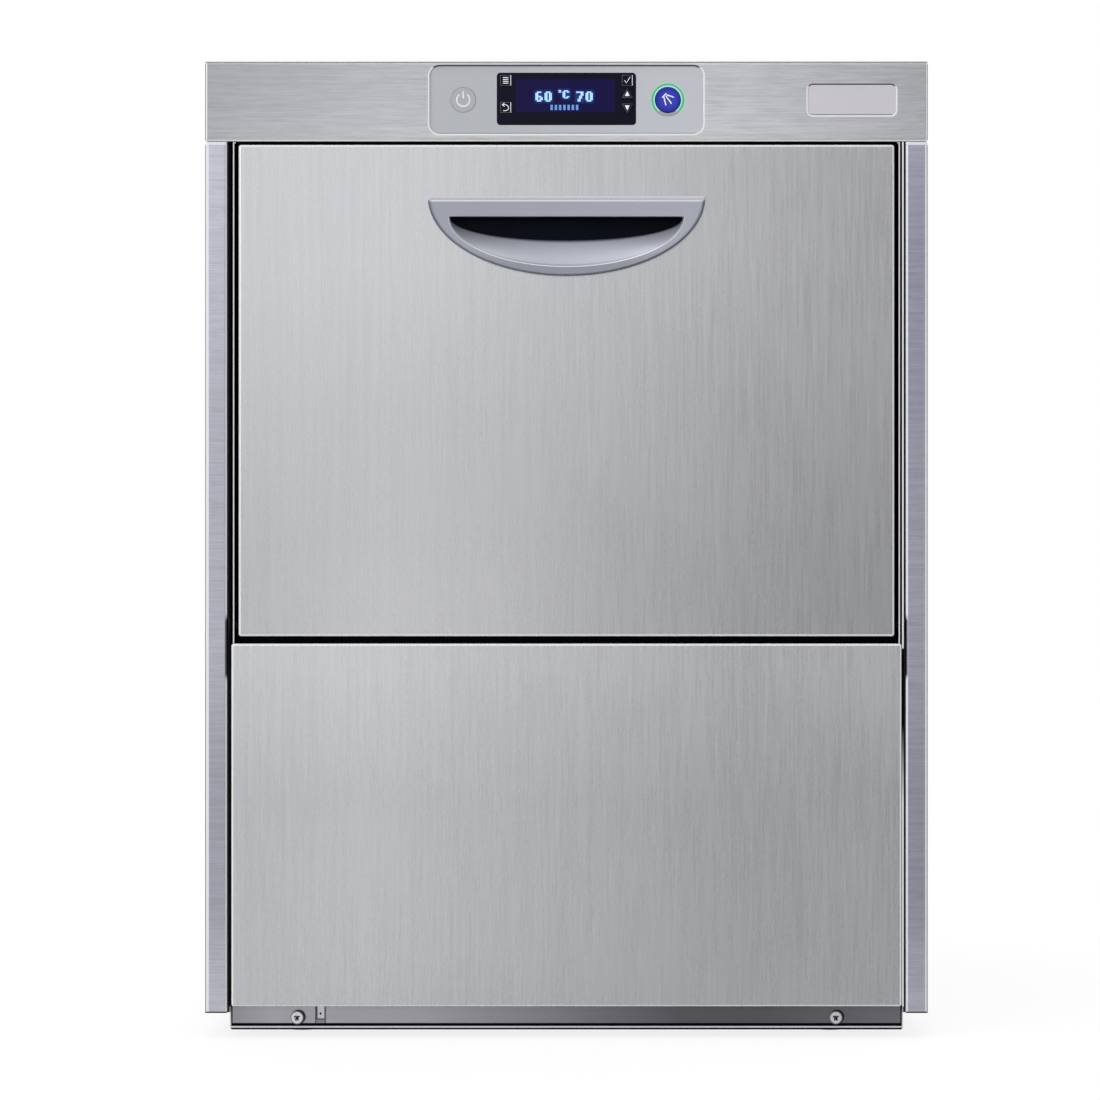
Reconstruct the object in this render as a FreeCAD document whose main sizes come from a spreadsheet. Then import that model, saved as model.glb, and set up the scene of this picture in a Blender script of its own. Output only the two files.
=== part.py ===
import FreeCAD, Part
import math
import os

import Sketcher

# Undercounter glass washer for 500 mm racks: a stainless cabinet with a drop-down door, a wash chamber with
# two pairs of spray arms, and the pump, boiler, valve and electrics below and behind it.
# Frame: +Z up, the door faces -Y, the origin lies on the floor under the middle of the machine. Millimetres.

# Driving sizes. A size from here is written nowhere else: every other place is worked out from these.
SIZES = {
    # whole machine
    "overall_depth": 600.0,  # front of the handle to the ends of the rear connectors
    "body_width": 580.0,
    "body_height": 778.0,  # underside of the base tray to the top of the lid
    "foot_height": 6.0,  # the feet below the base tray, screwed right in
    "handle_proud": 4.0,  # the handle stands out from the door
    "connector_proud": 18.0,  # the connectors stand out from the rear panel
    # sheet metal
    "sheet": 1.0,
    "heavy_sheet": 1.5,
    "bend": 2.0,  # outside radius of a bend
    "seam": 0.4,  # gap between neighbouring fixed panels
    # lid, fascia and side panels
    "lid_skirt": 14.0,
    "fascia_height": 64.4,
    "fascia_depth": 26.0,
    "column_width": 17.7,
    "column_lip": 8.0,
    "side_rise": 14.3,  # lower edge of the side panels above the underside of the base tray
    "column_gap": 1.7,
    "chassis_sheet": 1.2,
    "frame_gap": 1.6,
    # door
    "door_top_gap": 2.7,
    "door_side_gap": 3.7,
    "door_bottom_gap": 5.9,
    "door_depth": 26.0,
    "door_panel_raise": 3.0,
    "door_panel_margin": 28.0,
    "pivot_setback": 10.0,  # hinge line behind the door's front face
    "pivot_rise": 9.0,  # hinge line above the door's lower edge
    "hinge_radius": 5.0,
    "hinge_play": 0.05,
    "bush_wall": 2.0,
    "lever_reach": 38.0,
    "lever_width": 12.0,
    "lever_sheet": 3.0,
    "lever_gap": 0.8,
    "spring_radius": 6.0,
    "spring_wire": 1.2,
    "spring_drop": 190.0,  # lever pin to anchor pin
    "spring_pin": 3.0,
    "spring_play": 0.4,
    "bush_flange": 0.5,
    "shaft_hole_play": 1.5,
    "hinge_block": 20.0,
    "liner_flange": 10.0,
    "pan_rise": 6.0,
    "pan_corner": 12.0,
    # handle
    "handle_width": 222.6,
    "handle_height": 63.8,
    "handle_drop": 41.6,  # top of the handle below the top of the door
    "grip_height": 16.3,
    "cup_width": 188.8,
    "cup_height": 40.4,
    "throat_height": 18.0,
    "cup_depth": 22.0,
    "handle_wall": 2.5,
    "handle_bevel": 1.5,
    "grip_sheet": 3.0,
    "throat_setback": 8.0,
    "throat_inset": 1.0,
    # lower panel and base
    "lower_height": 291.2,
    "lower_depth": 14.0,
    "base_front": 19.4,  # height of the base strip that shows below the lower panel
    "strip_setback": 6.0,
    "front_screw_spread": 432.8,
    "front_screw_rise": 10.1,
    "screw_head_height": 3.0,
    "screw_shank": 2.0,
    "screw_play": 0.2,
    "screw_nut": 4.0,
    "screw_cross": 1.4,
    "lug_width": 16.0,
    "tab_offset": 197.3,
    "tab_width": 5.6,
    "tab_length": 10.3,
    "tab_play": 0.8,
    "screw_head": 5.2,
    "foot_inset": 55.0,
    "foot_setback": 68.0,  # front feet behind the front, where the tray hides them
    "foot_radius": 20.0,
    "foot_pad": 5.5,
    "foot_chamfer": 1.5,
    "thread_play": 0.05,
    "stud_radius": 5.0,
    "stud_length": 44.0,
    "nut_height": 12.0,
    "nut_radius": 9.0,
    # front frame, seal and chamber
    "frame_setback": 30.0,
    "seal_play": 0.3,
    "seal_width": 6.0,
    "seal_drop": 1.5,
    "frame_lip_setback": 3.0,
    "mouth_margin": 12.3,  # side of the chamber inside the frame's lip
    "sill_rise": 19.5,  # lower edge of the chamber mouth above the hinge line
    "mouth_drop": 16.6,  # upper edge of the chamber mouth below the fascia
    "chamber_depth": 516.8,
    "chamber_bend": 8.0,
    "tank_rim": 22.0,  # top of the tank below the sill
    "tank_depth": 137.0,
    "tank_bend": 25.0,
    "tank_width": 400.0,
    "tank_front_ledge": 60.0,
    "tank_rear_ledge": 61.8,
    "ledge": 8.0,
    "seat_gap": 0.3,
    "sump_inset": 95.0,  # middle of the sump from the right wall of the tank
    "sump_setback": 88.4,
    "sump_radius": 60.0,
    "sump_depth": 48.0,
    "strainer_drop": 40.0,
    "filter_radius": 42.0,
    "filter_rise": 30.0,
    "filter_rim": 8.0,
    "standpipe_radius": 14.0,
    "standpipe_rise": 4.0,
    "heater_radius": 4.0,
    "heater_reach": 140.0,
    "heater_loop": 120.0,
    "heater_plate": 3.0,
    # rack
    "rack_width": 500.0,
    "rack_height": 100.0,
    "rack_wall": 3.0,
    "rack_floor": 5.0,
    "rack_front_gap": 8.8,
    "rack_rise": 16.3,  # underside of the rack above the sill
    "rack_corner": 12.0,
    "rail_width": 18.0,
    "rail_flange": 10.0,
    # spray arms
    "wash_arm_width": 36.0,
    "wash_arm_height": 14.0,
    "rinse_arm_width": 12.0,
    "rinse_arm_height": 8.0,
    "arm_margin": 18.0,  # arm tips from the chamber sides
    "arm_gap": 2.0,
    "arm_rise": 3.0,
    "arm_hub": 20.0,
    "nozzle_slot": 4.0,
    "stem_radius": 12.0,
    "shoulder": 3.0,
    "manifold": 48.0,
    "manifold_height": 34.0,
    "arm_wall": 1.2,
    "spindle_radius": 9.0,
    "spindle_play": 0.06,
    "knob_radius": 13.0,
    "knob_height": 8.0,
    # control panel
    "panel_width": 219.4,
    "panel_height": 54.5,
    "panel_drop": 3.8,  # top of the pressed recess below the lid
    "panel_corner": 8.0,
    "recess_depth": 2.4,
    "recess_round": 0.6,
    "drawn_wall": 0.5,
    "overlay_sheet": 0.9,
    "key_play": 0.2,
    "display_width": 111.5,
    "display_height": 41.7,
    "display_drop": 5.6,  # top of the display below the top of the recess
    "display_corner": 2.8,
    "round_key_radius": 9.9,
    "power_key_offset": 82.8,
    "start_key_offset": 81.4,
    "ring_gap": 0.7,
    "ring_width": 2.3,
    "small_key": 8.8,
    "small_key_offset": 48.8,
    "small_key_rise": 4.8,
    "small_key_pitch": 10.9,
    "key_travel": 0.6,
    "power_key_travel": 1.0,
    "start_key_travel": 1.5,
    "badge_width": 70.2,
    "badge_height": 24.5,
    "badge_inset": 25.9,  # badge recess from the right side of the body
    "badge_drop": 18.9,
    "badge_corner": 4.0,
    "badge_recess": 1.2,
    "badge_sheet": 0.8,
    "panel_border": 5.0,
    "lens_sheet": 1.6,
    "key_proud": 0.3,
    "start_proud": 1.6,
    "key_stem": 2.0,
    "switch_gap": 5.0,
    "switch_height": 3.5,
    "board_sheet": 1.6,
    "stud_inset": 4.0,
    "stud_boss": 2.0,
    "screen_width": 84.0,
    "screen_height": 27.0,
    "screen_lift": 3.0,
    # services
    "inlet_radius": 13.2,
    "inlet_offset": 215.0,
    "inlet_rise": 70.0,
    "drain_radius": 11.0,
    "drain_offset": 215.0,
    "gland_bore": 6.5,
    "gland_radius": 13.0,
    "gland_lift": 60.0,
    "gland_shoulder": 3.0,
    "gland_nut": 5.0,
    "service_flange": 2.0,
    "service_lip": 5.0,
    "service_neck": 1.0,  # the neck in the rear panel is this much thicker than its spigot
    "panel_nut": 4.0,
    "valve_body": 40.0,
    "valve_length": 52.0,
    "inlet_wall": 3.2,
    "dosing_radius": 24.0,
    "dosing_depth": 30.0,
    "dosing_rotor": 16.0,
    "rotor_gap": 1.0,
    "dosing_setback": 81.0,
    "dosing_rise": 74.0,
    "dosing_offset": 140.0,
    "dosing_pitch": 66.0,
    "electrics_gap": 60.0,
    "electrics_inset": 27.5,
    "electrics_height": 165.0,
    "electrics_depth": 22.0,
    "louvre_slot": 6.0,
    "louvre_height": 40.0,
    "louvre_rise": 190.0,
    "louvre_row_pitch": 60.0,
    "gland_offset": 215.0,
    "service_rise": 60.0,
    "service_hole_play": 0.5,
    "pump_radius": 46.0,
    "pump_length": 140.0,
    "pump_shaft": 8.0,
    "pump_rise": 58.5,
    "pump_wall": 3.0,
    "volute_radius": 50.0,
    "volute_width": 30.0,
    "suction_run": 40.0,  # from the volute to the side of the sump
    "fan_width": 8.0,
    "suction_pipe": 14.0,
    "drain_pipe": 10.0,
    "small_pump_radius": 26.0,
    "small_pump_length": 65.0,
    "boiler_radius": 66.0,
    "boiler_length": 300.0,
    "boiler_setback": 56.8,
    "boiler_lift": 4.0,
    "boiler_saddle": 20.0,
    "boiler_flange": 8.0,
    "boiler_outlet": 35.0,
    "rinse_feed_drop": 6.0,
    "pipe_radius": 12.0,
    "pipe_wall": 1.5,
    "rinse_pipe_radius": 6.0,
}


class Length:
    """A size with its text in the document's expressions, so that sums of sizes stay bound to the sheet."""

    def __init__(self, text, value):
        self.text = text
        self.value = value

    def __add__(self, other):
        other = length(other)
        return Length(f"({self.text} + {other.text})", self.value + other.value)

    def __sub__(self, other):
        other = length(other)
        return Length(f"({self.text} - {other.text})", self.value - other.value)

    def __mul__(self, other):
        other = length(other)
        return Length(f"({self.text} * {other.text})", self.value * other.value)

    def __truediv__(self, other):
        other = length(other)
        return Length(f"({self.text} / {other.text})", self.value / other.value)

    def __neg__(self):
        return Length(f"(0 - {self.text})", -self.value)

    def __radd__(self, other):
        return length(other) + self

    def __rsub__(self, other):
        return length(other) - self

    def __rmul__(self, other):
        return length(other) * self


def length(size):
    """A plain number as a Length; a Length stays as it is."""
    return size if isinstance(size, Length) else Length(f"{float(size):g}", float(size))


doc = FreeCAD.newDocument("GlassWasher")
sheet = doc.addObject("Spreadsheet::Sheet", "Sizes")


class Names:
    """The driving sizes as attributes: S.body_width is the cell with that alias."""


S = Names()
for row, (alias, number) in enumerate(SIZES.items(), start=1):
    sheet.set(f"A{row}", alias)
    sheet.set(f"B{row}", str(number))
    sheet.setAlias(f"B{row}", alias)
    doc.recompute()
for alias in SIZES:
    setattr(S, alias, Length(f"Sizes.{alias}", sheet.get(alias)))

# Planes and lines that several pieces share.
HALF = S.body_width / 2
FRONT = S.handle_proud - S.overall_depth / 2
BACK = S.overall_depth / 2 - S.connector_proud
FLOOR = S.foot_height
TRAY = FLOOR + S.heavy_sheet
TOP = FLOOR + S.body_height
LID_UNDER = TOP - S.sheet
FASCIA_BOTTOM = TOP - S.fascia_height
DOOR_TOP = FASCIA_BOTTOM - S.door_top_gap
LOWER_BOTTOM = FLOOR + S.base_front
LOWER_TOP = LOWER_BOTTOM + S.lower_height
DOOR_BOTTOM = LOWER_TOP + S.door_bottom_gap
CHASSIS = HALF - S.column_width - S.column_gap
CHASSIS_IN = CHASSIS - S.chassis_sheet
FRAME_LIP = CHASSIS_IN - S.frame_gap
DOOR_HALF = FRAME_LIP - S.sheet - S.door_side_gap
DOOR_BACK = FRONT + S.door_depth
PIVOT_Y = FRONT + S.pivot_setback
PIVOT_Z = DOOR_BOTTOM + S.pivot_rise
FRAME_Y = FRONT + S.frame_setback
CHAMBER_FRONT = FRAME_Y + S.sheet
CHAMBER_BACK = CHAMBER_FRONT + S.chamber_depth
CHAMBER_HALF = FRAME_LIP - S.mouth_margin
SILL = PIVOT_Z + S.sill_rise
CEILING = FASCIA_BOTTOM - S.mouth_drop
TANK_TOP = SILL - S.tank_rim
TANK_FLOOR = TANK_TOP - S.tank_depth
ARM_Y = (CHAMBER_FRONT + CHAMBER_BACK) / 2
ARM_REACH = CHAMBER_HALF - S.arm_margin
RACK_BOTTOM = SILL + S.rack_rise
RACK_FRONT = CHAMBER_FRONT + S.rack_front_gap
REAR_INSIDE = BACK - S.sheet
PANEL_TOP = TOP - S.panel_drop
PANEL_BOTTOM = PANEL_TOP - S.panel_height
DISPLAY_TOP = PANEL_TOP - S.display_drop
DISPLAY_BOTTOM = DISPLAY_TOP - S.display_height
OVERLAY_FACE = FRONT + S.recess_depth - S.overlay_sheet
RECESS_FLOOR = FRONT + S.recess_depth
KEY_Z = PANEL_TOP - S.panel_height / 2
ORIGIN_PLANE = {"x": "YZ_Plane", "y": "XZ_Plane", "z": "XY_Plane"}


# --- ways of making solids -------------------------------------------------------------------------------

def bind(item, setting, size):
    item.setExpression(setting, length(size).text)


def across(side, near, far):
    """The x range from near to far off the middle of the machine, to the left for side -1, right for 1."""
    return (near, far) if side > 0 else (-far, -near)


def centred(middle, width):
    return (middle - width / 2, middle + width / 2)


def new_sketch(body, axis, u, v, w):
    """A sketch square to axis, its own origin at u, v in that plane and w along the axis."""
    sketch = body.newObject("Sketcher::SketchObject", body.Label + "_sketch")
    plane = next(f for f in body.Origin.OriginFeatures if f.Role == ORIGIN_PLANE[axis])
    sketch.AttachmentSupport = [(plane, "")]
    sketch.MapMode = "FlatFace"
    bind(sketch, "AttachmentOffset.Base.x", u)
    bind(sketch, "AttachmentOffset.Base.y", v)
    bind(sketch, "AttachmentOffset.Base.z", -w if axis == "y" else w)
    return sketch


def polygon(sketch, points):
    """A closed outline of straight lines, each corner held at its distances, none negative, from the origin."""
    corners = [FreeCAD.Vector(length(u).value, length(v).value, 0) for u, v in points]
    first = sketch.GeometryCount
    for i, corner in enumerate(corners):
        sketch.addGeometry(Part.LineSegment(corner, corners[(i + 1) % len(corners)]), False)
    for i, (u, v) in enumerate(points):
        before = first + (i - 1) % len(points)
        sketch.addConstraint(Sketcher.Constraint("Coincident", before, 2, first + i, 1))
        for kind, axis_line, size in (("DistanceX", -2, length(u)), ("DistanceY", -1, length(v))):
            if size.value:
                sketch.addConstraint(Sketcher.Constraint(kind, -1, 1, first + i, 1, size.value))
                bind(sketch, f"Constraints[{sketch.ConstraintCount - 1}]", size)
            else:
                sketch.addConstraint(Sketcher.Constraint("PointOnObject", first + i, 1, axis_line))


def extrude(body, kind, sketch, span):
    """A Pad or a Pocket, half its length to each side of the sketch, so that its direction can't be wrong."""
    before = body.Tip.Shape.Volume if body.Tip and not body.Tip.Shape.isNull() else 0
    feature = body.newObject("PartDesign::" + kind, body.Label + "_" + kind.lower())
    feature.Profile = sketch
    feature.SideType = "Symmetric"
    bind(feature, "Length", span)
    doc.recompute()
    if abs(feature.Shape.Volume - before) < 1e-6:
        raise ValueError(f"{feature.Label} of {body.Label} changed nothing")
    return feature


def block(body, kind, axis, x, y, z):
    """A rectangular Pad or Pocket between pairs of planes."""
    u, v, w = {"z": (x, y, z), "y": (x, z, y), "x": (y, z, x)}[axis]
    sketch = new_sketch(body, axis, u[0], v[0], (w[0] + w[1]) / 2)
    wide, high = u[1] - u[0], v[1] - v[0]
    polygon(sketch, [(0, 0), (wide, 0), (wide, high), (0, high)])
    return extrude(body, kind, sketch, w[1] - w[0])


def disc(body, kind, axis, centre, span, radius):
    """A round Pad or Pocket along axis. centre holds the two other coordinates, in X, Y, Z order."""
    sketch = new_sketch(body, axis, centre[0], centre[1], (span[0] + span[1]) / 2)
    sketch.addGeometry(Part.Circle(FreeCAD.Vector(), FreeCAD.Vector(0, 0, 1), length(radius).value), False)
    sketch.addConstraint(Sketcher.Constraint("Coincident", 0, 3, -1, 1))
    sketch.addConstraint(Sketcher.Constraint("Radius", 0, length(radius).value))
    bind(sketch, f"Constraints[{sketch.ConstraintCount - 1}]", radius)
    return extrude(body, kind, sketch, span[1] - span[0])


def new_body(label):
    return doc.addObject("PartDesign::Body", label)


def limits(edge, axis):
    box = edge.BoundBox
    return {"x": (box.XMin, box.XMax), "y": (box.YMin, box.YMax), "z": (box.ZMin, box.ZMax)}[axis]


def lies_at(edge, axis, size):
    """True for an edge or face that lies in the plane where axis has that size."""
    low, high = limits(edge, axis)
    return abs(low - length(size).value) < 1e-4 and abs(high - length(size).value) < 1e-4


def runs_along(edge, axis):
    """True for an edge that is straight and parallel to axis."""
    return all(limits(edge, other)[1] - limits(edge, other)[0] < 1e-4 for other in "xyz" if other != axis)


def is_within(edge, axis, low, high):
    found = limits(edge, axis)
    return found[0] > length(low).value - 1e-4 and found[1] < length(high).value + 1e-4


def round_edges(body, radius, test):
    """Rounds every edge of the body so far that passes the test."""
    base = body.Tip
    edges = [f"Edge{i}" for i, edge in enumerate(base.Shape.Edges, start=1) if test(edge)]
    rounded = body.newObject("PartDesign::Fillet", body.Label + "_rounding")
    rounded.Base = (base, edges)
    bind(rounded, "Radius", radius)
    doc.recompute()
    if rounded.Shape.isNull() or "Invalid" in rounded.State:
        raise ValueError(f"{rounded.Label} of {body.Label} failed on {len(edges)} edges")
    return rounded


def folded(label, x, y, z, openings, metal, bend):
    """A tray of folded sheet with rounded bends. The sides named in openings, such as "+y", stay open."""
    body = new_body(label)
    outer = {"x": x, "y": y, "z": z}
    depth_axis = openings[0][1]
    block(body, "Pad", depth_axis, x, y, z)
    inner = {}
    for axis, (low, high) in outer.items():
        low = low - metal if "-" + axis in openings else low + metal
        high = high + metal if "+" + axis in openings else high - metal
        inner[axis] = (low, high)
    block(body, "Pocket", depth_axis, inner["x"], inner["y"], inner["z"])
    open_planes = [(name[1], outer[name[1]][0 if name[0] == "-" else 1]) for name in openings]

    def is_inside(edge):
        return all(is_within(edge, axis, *span) for axis, span in inner.items())

    def at_opening(edge):
        return any(lies_at(edge, axis, at) for axis, at in open_planes)

    round_edges(body, bend - metal, lambda e: is_inside(e) and not at_opening(e))
    round_edges(body, bend, lambda e: not is_inside(e) and not at_opening(e))
    return body


def turned(label, axis, centre, start, profile):
    """A piece turned about axis: profile lists (radius, distance from start), both with no sign."""
    body = new_body(label)
    sketch = body.newObject("Sketcher::SketchObject", label + "_profile")
    plane = next(f for f in body.Origin.OriginFeatures if f.Role == "XZ_Plane")
    sketch.AttachmentSupport = [(plane, "")]
    sketch.MapMode = "FlatFace"
    polygon(sketch, profile)
    turn = body.newObject("PartDesign::Revolution", label + "_turn")
    turn.Profile = sketch
    turn.ReferenceAxis = (sketch, ["V_Axis"])
    turn.Angle = 360
    place(body, axis, centre, start)
    doc.recompute()
    return body


TURN = {"x": ((0, 1, 0), 90), "y": ((1, 0, 0), -90), "z": ((0, 0, 1), 0)}


def place(item, axis, centre, start):
    """Turns the item's own Z to axis and moves its foot to start on that axis, at centre across it."""
    direction, angle = TURN[axis]
    item.Placement = FreeCAD.Placement(FreeCAD.Vector(), FreeCAD.Rotation(FreeCAD.Vector(*direction), angle))
    x, y, z = {"x": (start, *centre), "y": (centre[0], start, centre[1]), "z": (*centre, start)}[axis]
    bind(item, "Placement.Base.x", x)
    bind(item, "Placement.Base.y", y)
    bind(item, "Placement.Base.z", z)


def bar(label, x, y, z):
    """A rectangular Part::Box between pairs of planes."""
    box = doc.addObject("Part::Box", label)
    for setting, place_name, (low, high) in (("Length", "x", x), ("Width", "y", y), ("Height", "z", z)):
        bind(box, setting, high - low)
        bind(box, f"Placement.Base.{place_name}", low)
    return box


def rod(label, axis, centre, span, radius):
    """A round Part::Cylinder along axis."""
    cylinder = doc.addObject("Part::Cylinder", label)
    bind(cylinder, "Radius", radius)
    bind(cylinder, "Height", span[1] - span[0])
    place(cylinder, axis, centre, span[0])
    return cylinder


def tube(label, axis, centre, span, radius, bore):
    """A round tube, open at both ends."""
    overrun = length(1)
    inner = rod(label + "_bore", axis, centre, (span[0] - overrun, span[1] + overrun), bore)
    return cut(label, rod(label + "_outside", axis, centre, span, radius), inner)


def fuse(label, *pieces):
    joined = doc.addObject("Part::MultiFuse", label)
    joined.Shapes = list(pieces)
    joined.Refine = True
    return joined


def cut(label, base, *tools):
    removed = doc.addObject("Part::Cut", label)
    removed.Base = base
    removed.Tool = tools[0] if len(tools) == 1 else fuse(label + "_tools", *tools)
    removed.Refine = True
    return removed


def group(label, *pieces):
    """Several separate solids as one node."""
    compound = doc.addObject("Part::Compound", label)
    compound.Links = list(pieces)
    return compound


def shaped(label, shape):
    """A piece whose shape is made by Part's own functions."""
    feature = doc.addObject("Part::Feature", label)
    feature.Shape = shape
    return feature


NODES = []


def node(item, label=None):
    """Marks a finished sub-part; its Label names its file."""
    if label:
        item.Label = label
    NODES.append(item)
    return item


def vector(x, y, z):
    return FreeCAD.Vector(length(x).value, length(y).value, length(z).value)


def route(points, radius):
    """Straight runs through the points, joined by tangent arcs of that radius."""
    points = [vector(*p) for p in points]
    edges = []
    here = points[0]
    for before, corner, after in zip(points, points[1:], points[2:]):
        arrive = (corner - before).normalize()
        leave = (after - corner).normalize()
        half = arrive.getAngle(leave) / 2
        trim = radius * math.tan(half)
        start, end = corner - arrive * trim, corner + leave * trim
        inward = (leave - arrive).normalize()
        middle = corner + inward * (radius / math.cos(half) - radius)
        edges += [Part.makeLine(here, start), Part.Arc(start, middle, end).toShape()]
        here = end
    edges.append(Part.makeLine(here, points[-1]))
    return Part.Wire(edges)


def swept(points, radius, turn):
    """A round bar that follows the points, with bends of that radius."""
    path = route(points, length(turn).value)
    first = path.Edges[0]
    section = Part.Wire(Part.makeCircle(length(radius).value, first.valueAt(first.FirstParameter),
                                        first.tangentAt(first.FirstParameter)))
    return path.makePipeShell([section], True, False)


def hollow(points, radius, wall, turn):
    """A round tube that follows the points."""
    return swept(points, radius, turn).cut(swept(points, radius - wall, turn))


# --- base, feet and chassis ------------------------------------------------------------------------------

FEET = {
    f"{end}_{side}_foot": (sign * (CHASSIS - S.foot_inset), y)
    for end, y in (("front", FRONT + S.foot_setback), ("rear", REAR_INSIDE - S.foot_inset))
    for side, sign in (("left", -1), ("right", 1))
}
FRONT_SCREW_X = S.front_screw_spread / 2
FRONT_SCREW_Z = FLOOR + S.front_screw_rise
STRIP_FRONT = FRONT + S.strip_setback
STRIP_BACK = STRIP_FRONT + S.heavy_sheet
TAB_X = -S.tab_offset


def base_tray():
    """The folded floor of the cabinet. Its front wall shows as the strip below the lower panel."""
    tray = folded("base_sheet", (-CHASSIS, CHASSIS), (STRIP_FRONT, REAR_INSIDE), (FLOOR, LOWER_BOTTOM),
                  ("+z",),
                  S.heavy_sheet, S.bend)
    slot = (STRIP_FRONT - S.heavy_sheet, STRIP_BACK + S.heavy_sheet)
    block(tray, "Pocket", "y", centred(TAB_X, S.tab_width + S.tab_play * 2), slot,
          (LOWER_BOTTOM - S.tab_length - S.tab_play, LOWER_BOTTOM + S.tab_play))
    nuts = []
    bores = []
    for name, place_xy in FEET.items():
        nuts.append(rod(name + "_weld_nut", "z", place_xy, (TRAY, TRAY + S.nut_height), S.nut_radius))
        bores.append(rod(name + "_thread", "z", place_xy, (FLOOR - S.bend, TRAY + S.nut_height + S.bend),
                         S.stud_radius + S.thread_play))
    for sign in (-1, 1):
        bores.append(rod(f"screw_hole_{'left' if sign < 0 else 'right'}", "y",
                         (sign * FRONT_SCREW_X, FRONT_SCREW_Z),
                         slot, S.screw_shank + S.screw_play))
    return cut("base_tray", fuse("base_with_nuts", tray, *nuts), *bores)


def foot(name, place_xy):
    """A screw-in foot: a round pad with a chamfered sole on a threaded stud."""
    pad, stud = S.foot_radius, S.stud_radius
    chamfer = S.foot_chamfer
    return turned(name, "z", place_xy, length(0), [
        (0, 0), (pad - chamfer, 0), (pad, chamfer), (pad, S.foot_pad), (stud, S.foot_pad),
        (stud, S.foot_pad + S.stud_length), (0, S.foot_pad + S.stud_length)])


def chassis_wall(name, side):
    """A side wall that stands on the base tray and carries the door's bush and the foot of its spring."""
    wall = new_body(name + "_sheet")
    depth = REAR_INSIDE - FRONT - S.sheet
    step = S.fascia_depth + S.seam - S.sheet
    sketch = new_sketch(wall, "x", FRONT + S.sheet, LOWER_BOTTOM, (CHASSIS_IN + CHASSIS) / 2 * side)
    shoulder = FASCIA_BOTTOM - S.seam - LOWER_BOTTOM
    height = TOP - S.lid_skirt - S.seam - LOWER_BOTTOM
    polygon(sketch, [(0, 0), (depth, 0), (depth, height), (step, height), (step, shoulder), (0, shoulder)])
    extrude(wall, "Pad", sketch, S.chassis_sheet)
    disc(wall, "Pocket", "x", (PIVOT_Y, PIVOT_Z), across(side, CHASSIS_IN - S.sheet, CHASSIS + S.sheet),
         BUSH_RADIUS)
    pin = rod(name + "_spring_pin", "x", (SPRING_Y, SPRING_FOOT_Z),
              across(side, CHASSIS, SPRING_X + S.spring_radius),
              S.spring_pin)
    return fuse(name, wall, pin)


BUSH_RADIUS = S.hinge_radius + S.hinge_play + S.bush_wall
LEVER_X = (CHASSIS + S.lever_gap, CHASSIS + S.lever_gap + S.lever_sheet)
SPRING_X = LEVER_X[1] + S.spring_radius
SPRING_Y = PIVOT_Y + S.lever_reach
SPRING_FOOT_Z = PIVOT_Z - S.spring_drop

node(base_tray(), "base_tray")
for foot_name, foot_place in FEET.items():
    node(foot(foot_name, foot_place))
node(chassis_wall("left_chassis_wall", -1))
node(chassis_wall("right_chassis_wall", 1))


# --- casing ----------------------------------------------------------------------------------------------

def top_lid():
    """The flat lid, with a skirt folded down inside the side panels and behind the fascia."""
    lid = new_body("top_lid")
    block(lid, "Pad", "z", (-HALF, HALF), (FRONT, BACK), (LID_UNDER, TOP))
    round_edges(lid, S.sheet / 3, lambda e: lies_at(e, "z", TOP))
    skirt_x = HALF - S.sheet - S.seam
    skirt_y = (FRONT + S.fascia_depth + S.seam, REAR_INSIDE - S.bend)
    depth = (TOP - S.lid_skirt, LID_UNDER)
    block(lid, "Pad", "z", (-skirt_x, skirt_x), skirt_y, depth)
    block(lid, "Pocket", "z", (-(skirt_x - S.sheet), skirt_x - S.sheet),
          (skirt_y[0] + S.sheet, skirt_y[1] - S.sheet), depth)
    return lid


def side_panel(name, side):
    """A side casing with a column folded in at the front, notched inside for the door's lever."""
    inner = HALF - S.column_width
    top = LID_UNDER - S.seam
    panel = folded(name, across(side, inner, HALF), (FRONT, BACK), (FLOOR + S.side_rise, top), ("-z", "+z"),
                   S.sheet, S.bend)
    inside = across(side, inner - S.sheet, inner + S.sheet)
    block(panel, "Pocket", "x", inside, (FRONT + S.column_lip, BACK - S.column_lip),
          (FLOOR, TOP))
    block(panel, "Pocket", "x", inside, (FRONT + S.bend, FRONT + S.column_lip + S.sheet),
          (PIVOT_Z - S.lever_width, PIVOT_Z + S.lever_reach + S.lever_width))
    block(panel, "Pocket", "x", inside, (BACK - S.column_lip - S.sheet, REAR_INSIDE),
          (TOP - S.lid_skirt - S.seam, TOP))
    block(panel, "Pocket", "x", across(side, inner - S.sheet, HALF + S.sheet),
          (FRONT - S.sheet, FRONT + S.fascia_depth + S.seam), (FASCIA_BOTTOM - S.seam, TOP))
    return panel


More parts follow.
